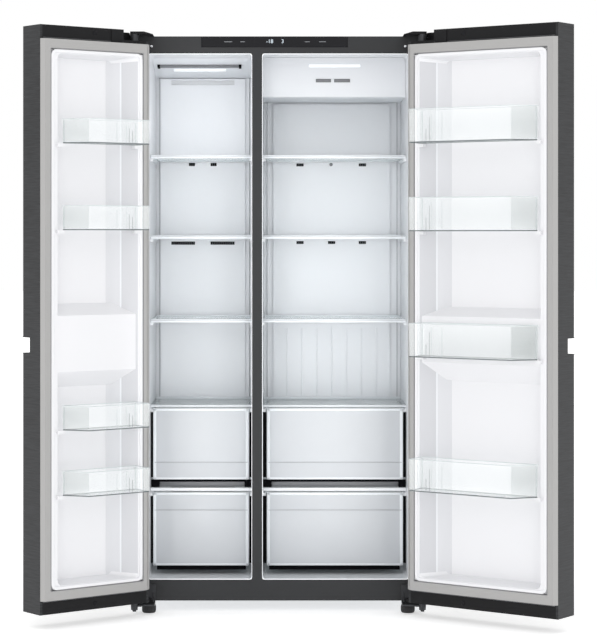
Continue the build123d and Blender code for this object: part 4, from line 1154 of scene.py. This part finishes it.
lathe(
    "back_screws",
    CABINET,
    "cabinet",
    "bright_steel",
    [(5.0, 0), (5.0, 1.0), (4.0, 2.0), (1.6, 2.2), (1.4, 1.2)],
    screw_spots,
    axis=(0, 1, 0),
    sides=20,
)
fixed(
    "back_edge_flanges",
    "dark_steel",
    [
        ((-HALF + 0.4, -HALF + 12), (DEPTH - 0.4, DEPTH + 1.0), (250, TOP - 1)),
        ((HALF - 12, HALF - 0.4), (DEPTH - 0.4, DEPTH + 1.0), (250, TOP - 1)),
        ((-HALF + 0.4, HALF - 0.4), (DEPTH - 0.4, DEPTH + 1.0), (TOP - 12, TOP - 0.4)),
    ],
    edge=0.5,
)

# ---------------------------------------------------------------- stage, light and camera
PALE = (0.90, 0.90, 0.90)
FLOOR_HALF = 40.0
floor_corners = [(x * FLOOR_HALF, y * FLOOR_HALF, 0) for x, y in ((-1, -1), (1, -1), (1, 1), (-1, 1))]
floor_mesh = bpy.data.meshes.new("floor")
floor_mesh.from_pydata(floor_corners, [], [(0, 1, 2, 3)])
floor = bpy.data.objects.new("floor", floor_mesh)
bpy.context.scene.collection.objects.link(floor)
floor_mesh.materials.append(
    surface("pale_floor", PALE, 0.9, grain=30, bump=0.0, tint=0.005, glow=PALE, glow_strength=0.5)
)

world = bpy.data.worlds.new("studio")
bpy.context.scene.world = world
world.use_nodes = True
world.node_tree.nodes["Background"].inputs["Color"].default_value = (1, 1, 1, 1)
world.node_tree.nodes["Background"].inputs["Strength"].default_value = 1.0


def area_light(name, spot, target, size, power):
    light = bpy.data.lights.new(name, "AREA")
    light.shape = "RECTANGLE"
    light.size, light.size_y = size
    light.energy = power
    lamp = bpy.data.objects.new(name, light)
    bpy.context.scene.collection.objects.link(lamp)
    lamp.location = spot
    lamp.rotation_euler = (Vector(target) - Vector(spot)).to_track_quat("-Z", "Y").to_euler()
    lamp.visible_camera = False
    return lamp


area_light("front_soft", (CENTRE_X, -6.0, 3.0), (CENTRE_X, 0, 0.9), (5.0, 3.0), 26)
for side in (-1, 1):
    area_light(f"side_soft_{side}", (CENTRE_X + side * 5.0, -2.4, 1.6), (CENTRE_X, -0.1, 1.0), (3.0, 3.0), 2)
for name, power, height, size in (("freezer", 2.0, 0.98, 1.5), ("fridge", 1.35, 0.86, 1.25)):
    low, high = INNER[name]
    middle = CENTRE_X + (low + high) / 2000
    width = (high - low) / 1000
    spot = (middle, FRONT_Y - 0.7, height)
    lamp = area_light(f"{name}_fill", spot, (middle, FRONT_Y + 1, height), (0.6 * width, size), power * width)
    lamp.data.spread = math.radians(42)
    lamp.visible_glossy = False
spot = (CENTRE_X + sum(INNER["freezer"]) / 2000, FRONT_Y + 0.05, 1.48)
lamp = area_light("freezer_ceiling_fill", spot, (spot[0], FRONT_Y + 0.28, 1.71), (0.28, 0.12), 0.16)
lamp.visible_glossy = False

CAMERA_DISTANCE = 6.9867
CAMERA_HEIGHT = 1.1656
camera = bpy.data.cameras.new("camera")
camera.sensor_fit = "AUTO"
camera.sensor_width = 36.0
camera.lens = 126.85
camera.shift_x = 0.0314
camera.shift_y = -0.1323
camera.clip_end = 100.0
view = bpy.data.objects.new("camera", camera)
bpy.context.scene.collection.objects.link(view)
view.location = (CENTRE_X, FRONT_Y - CAMERA_DISTANCE, CAMERA_HEIGHT)
view.rotation_euler = (math.pi / 2, 0, 0)
bpy.context.scene.camera = view
bpy.context.scene.view_settings.view_transform = "Standard"
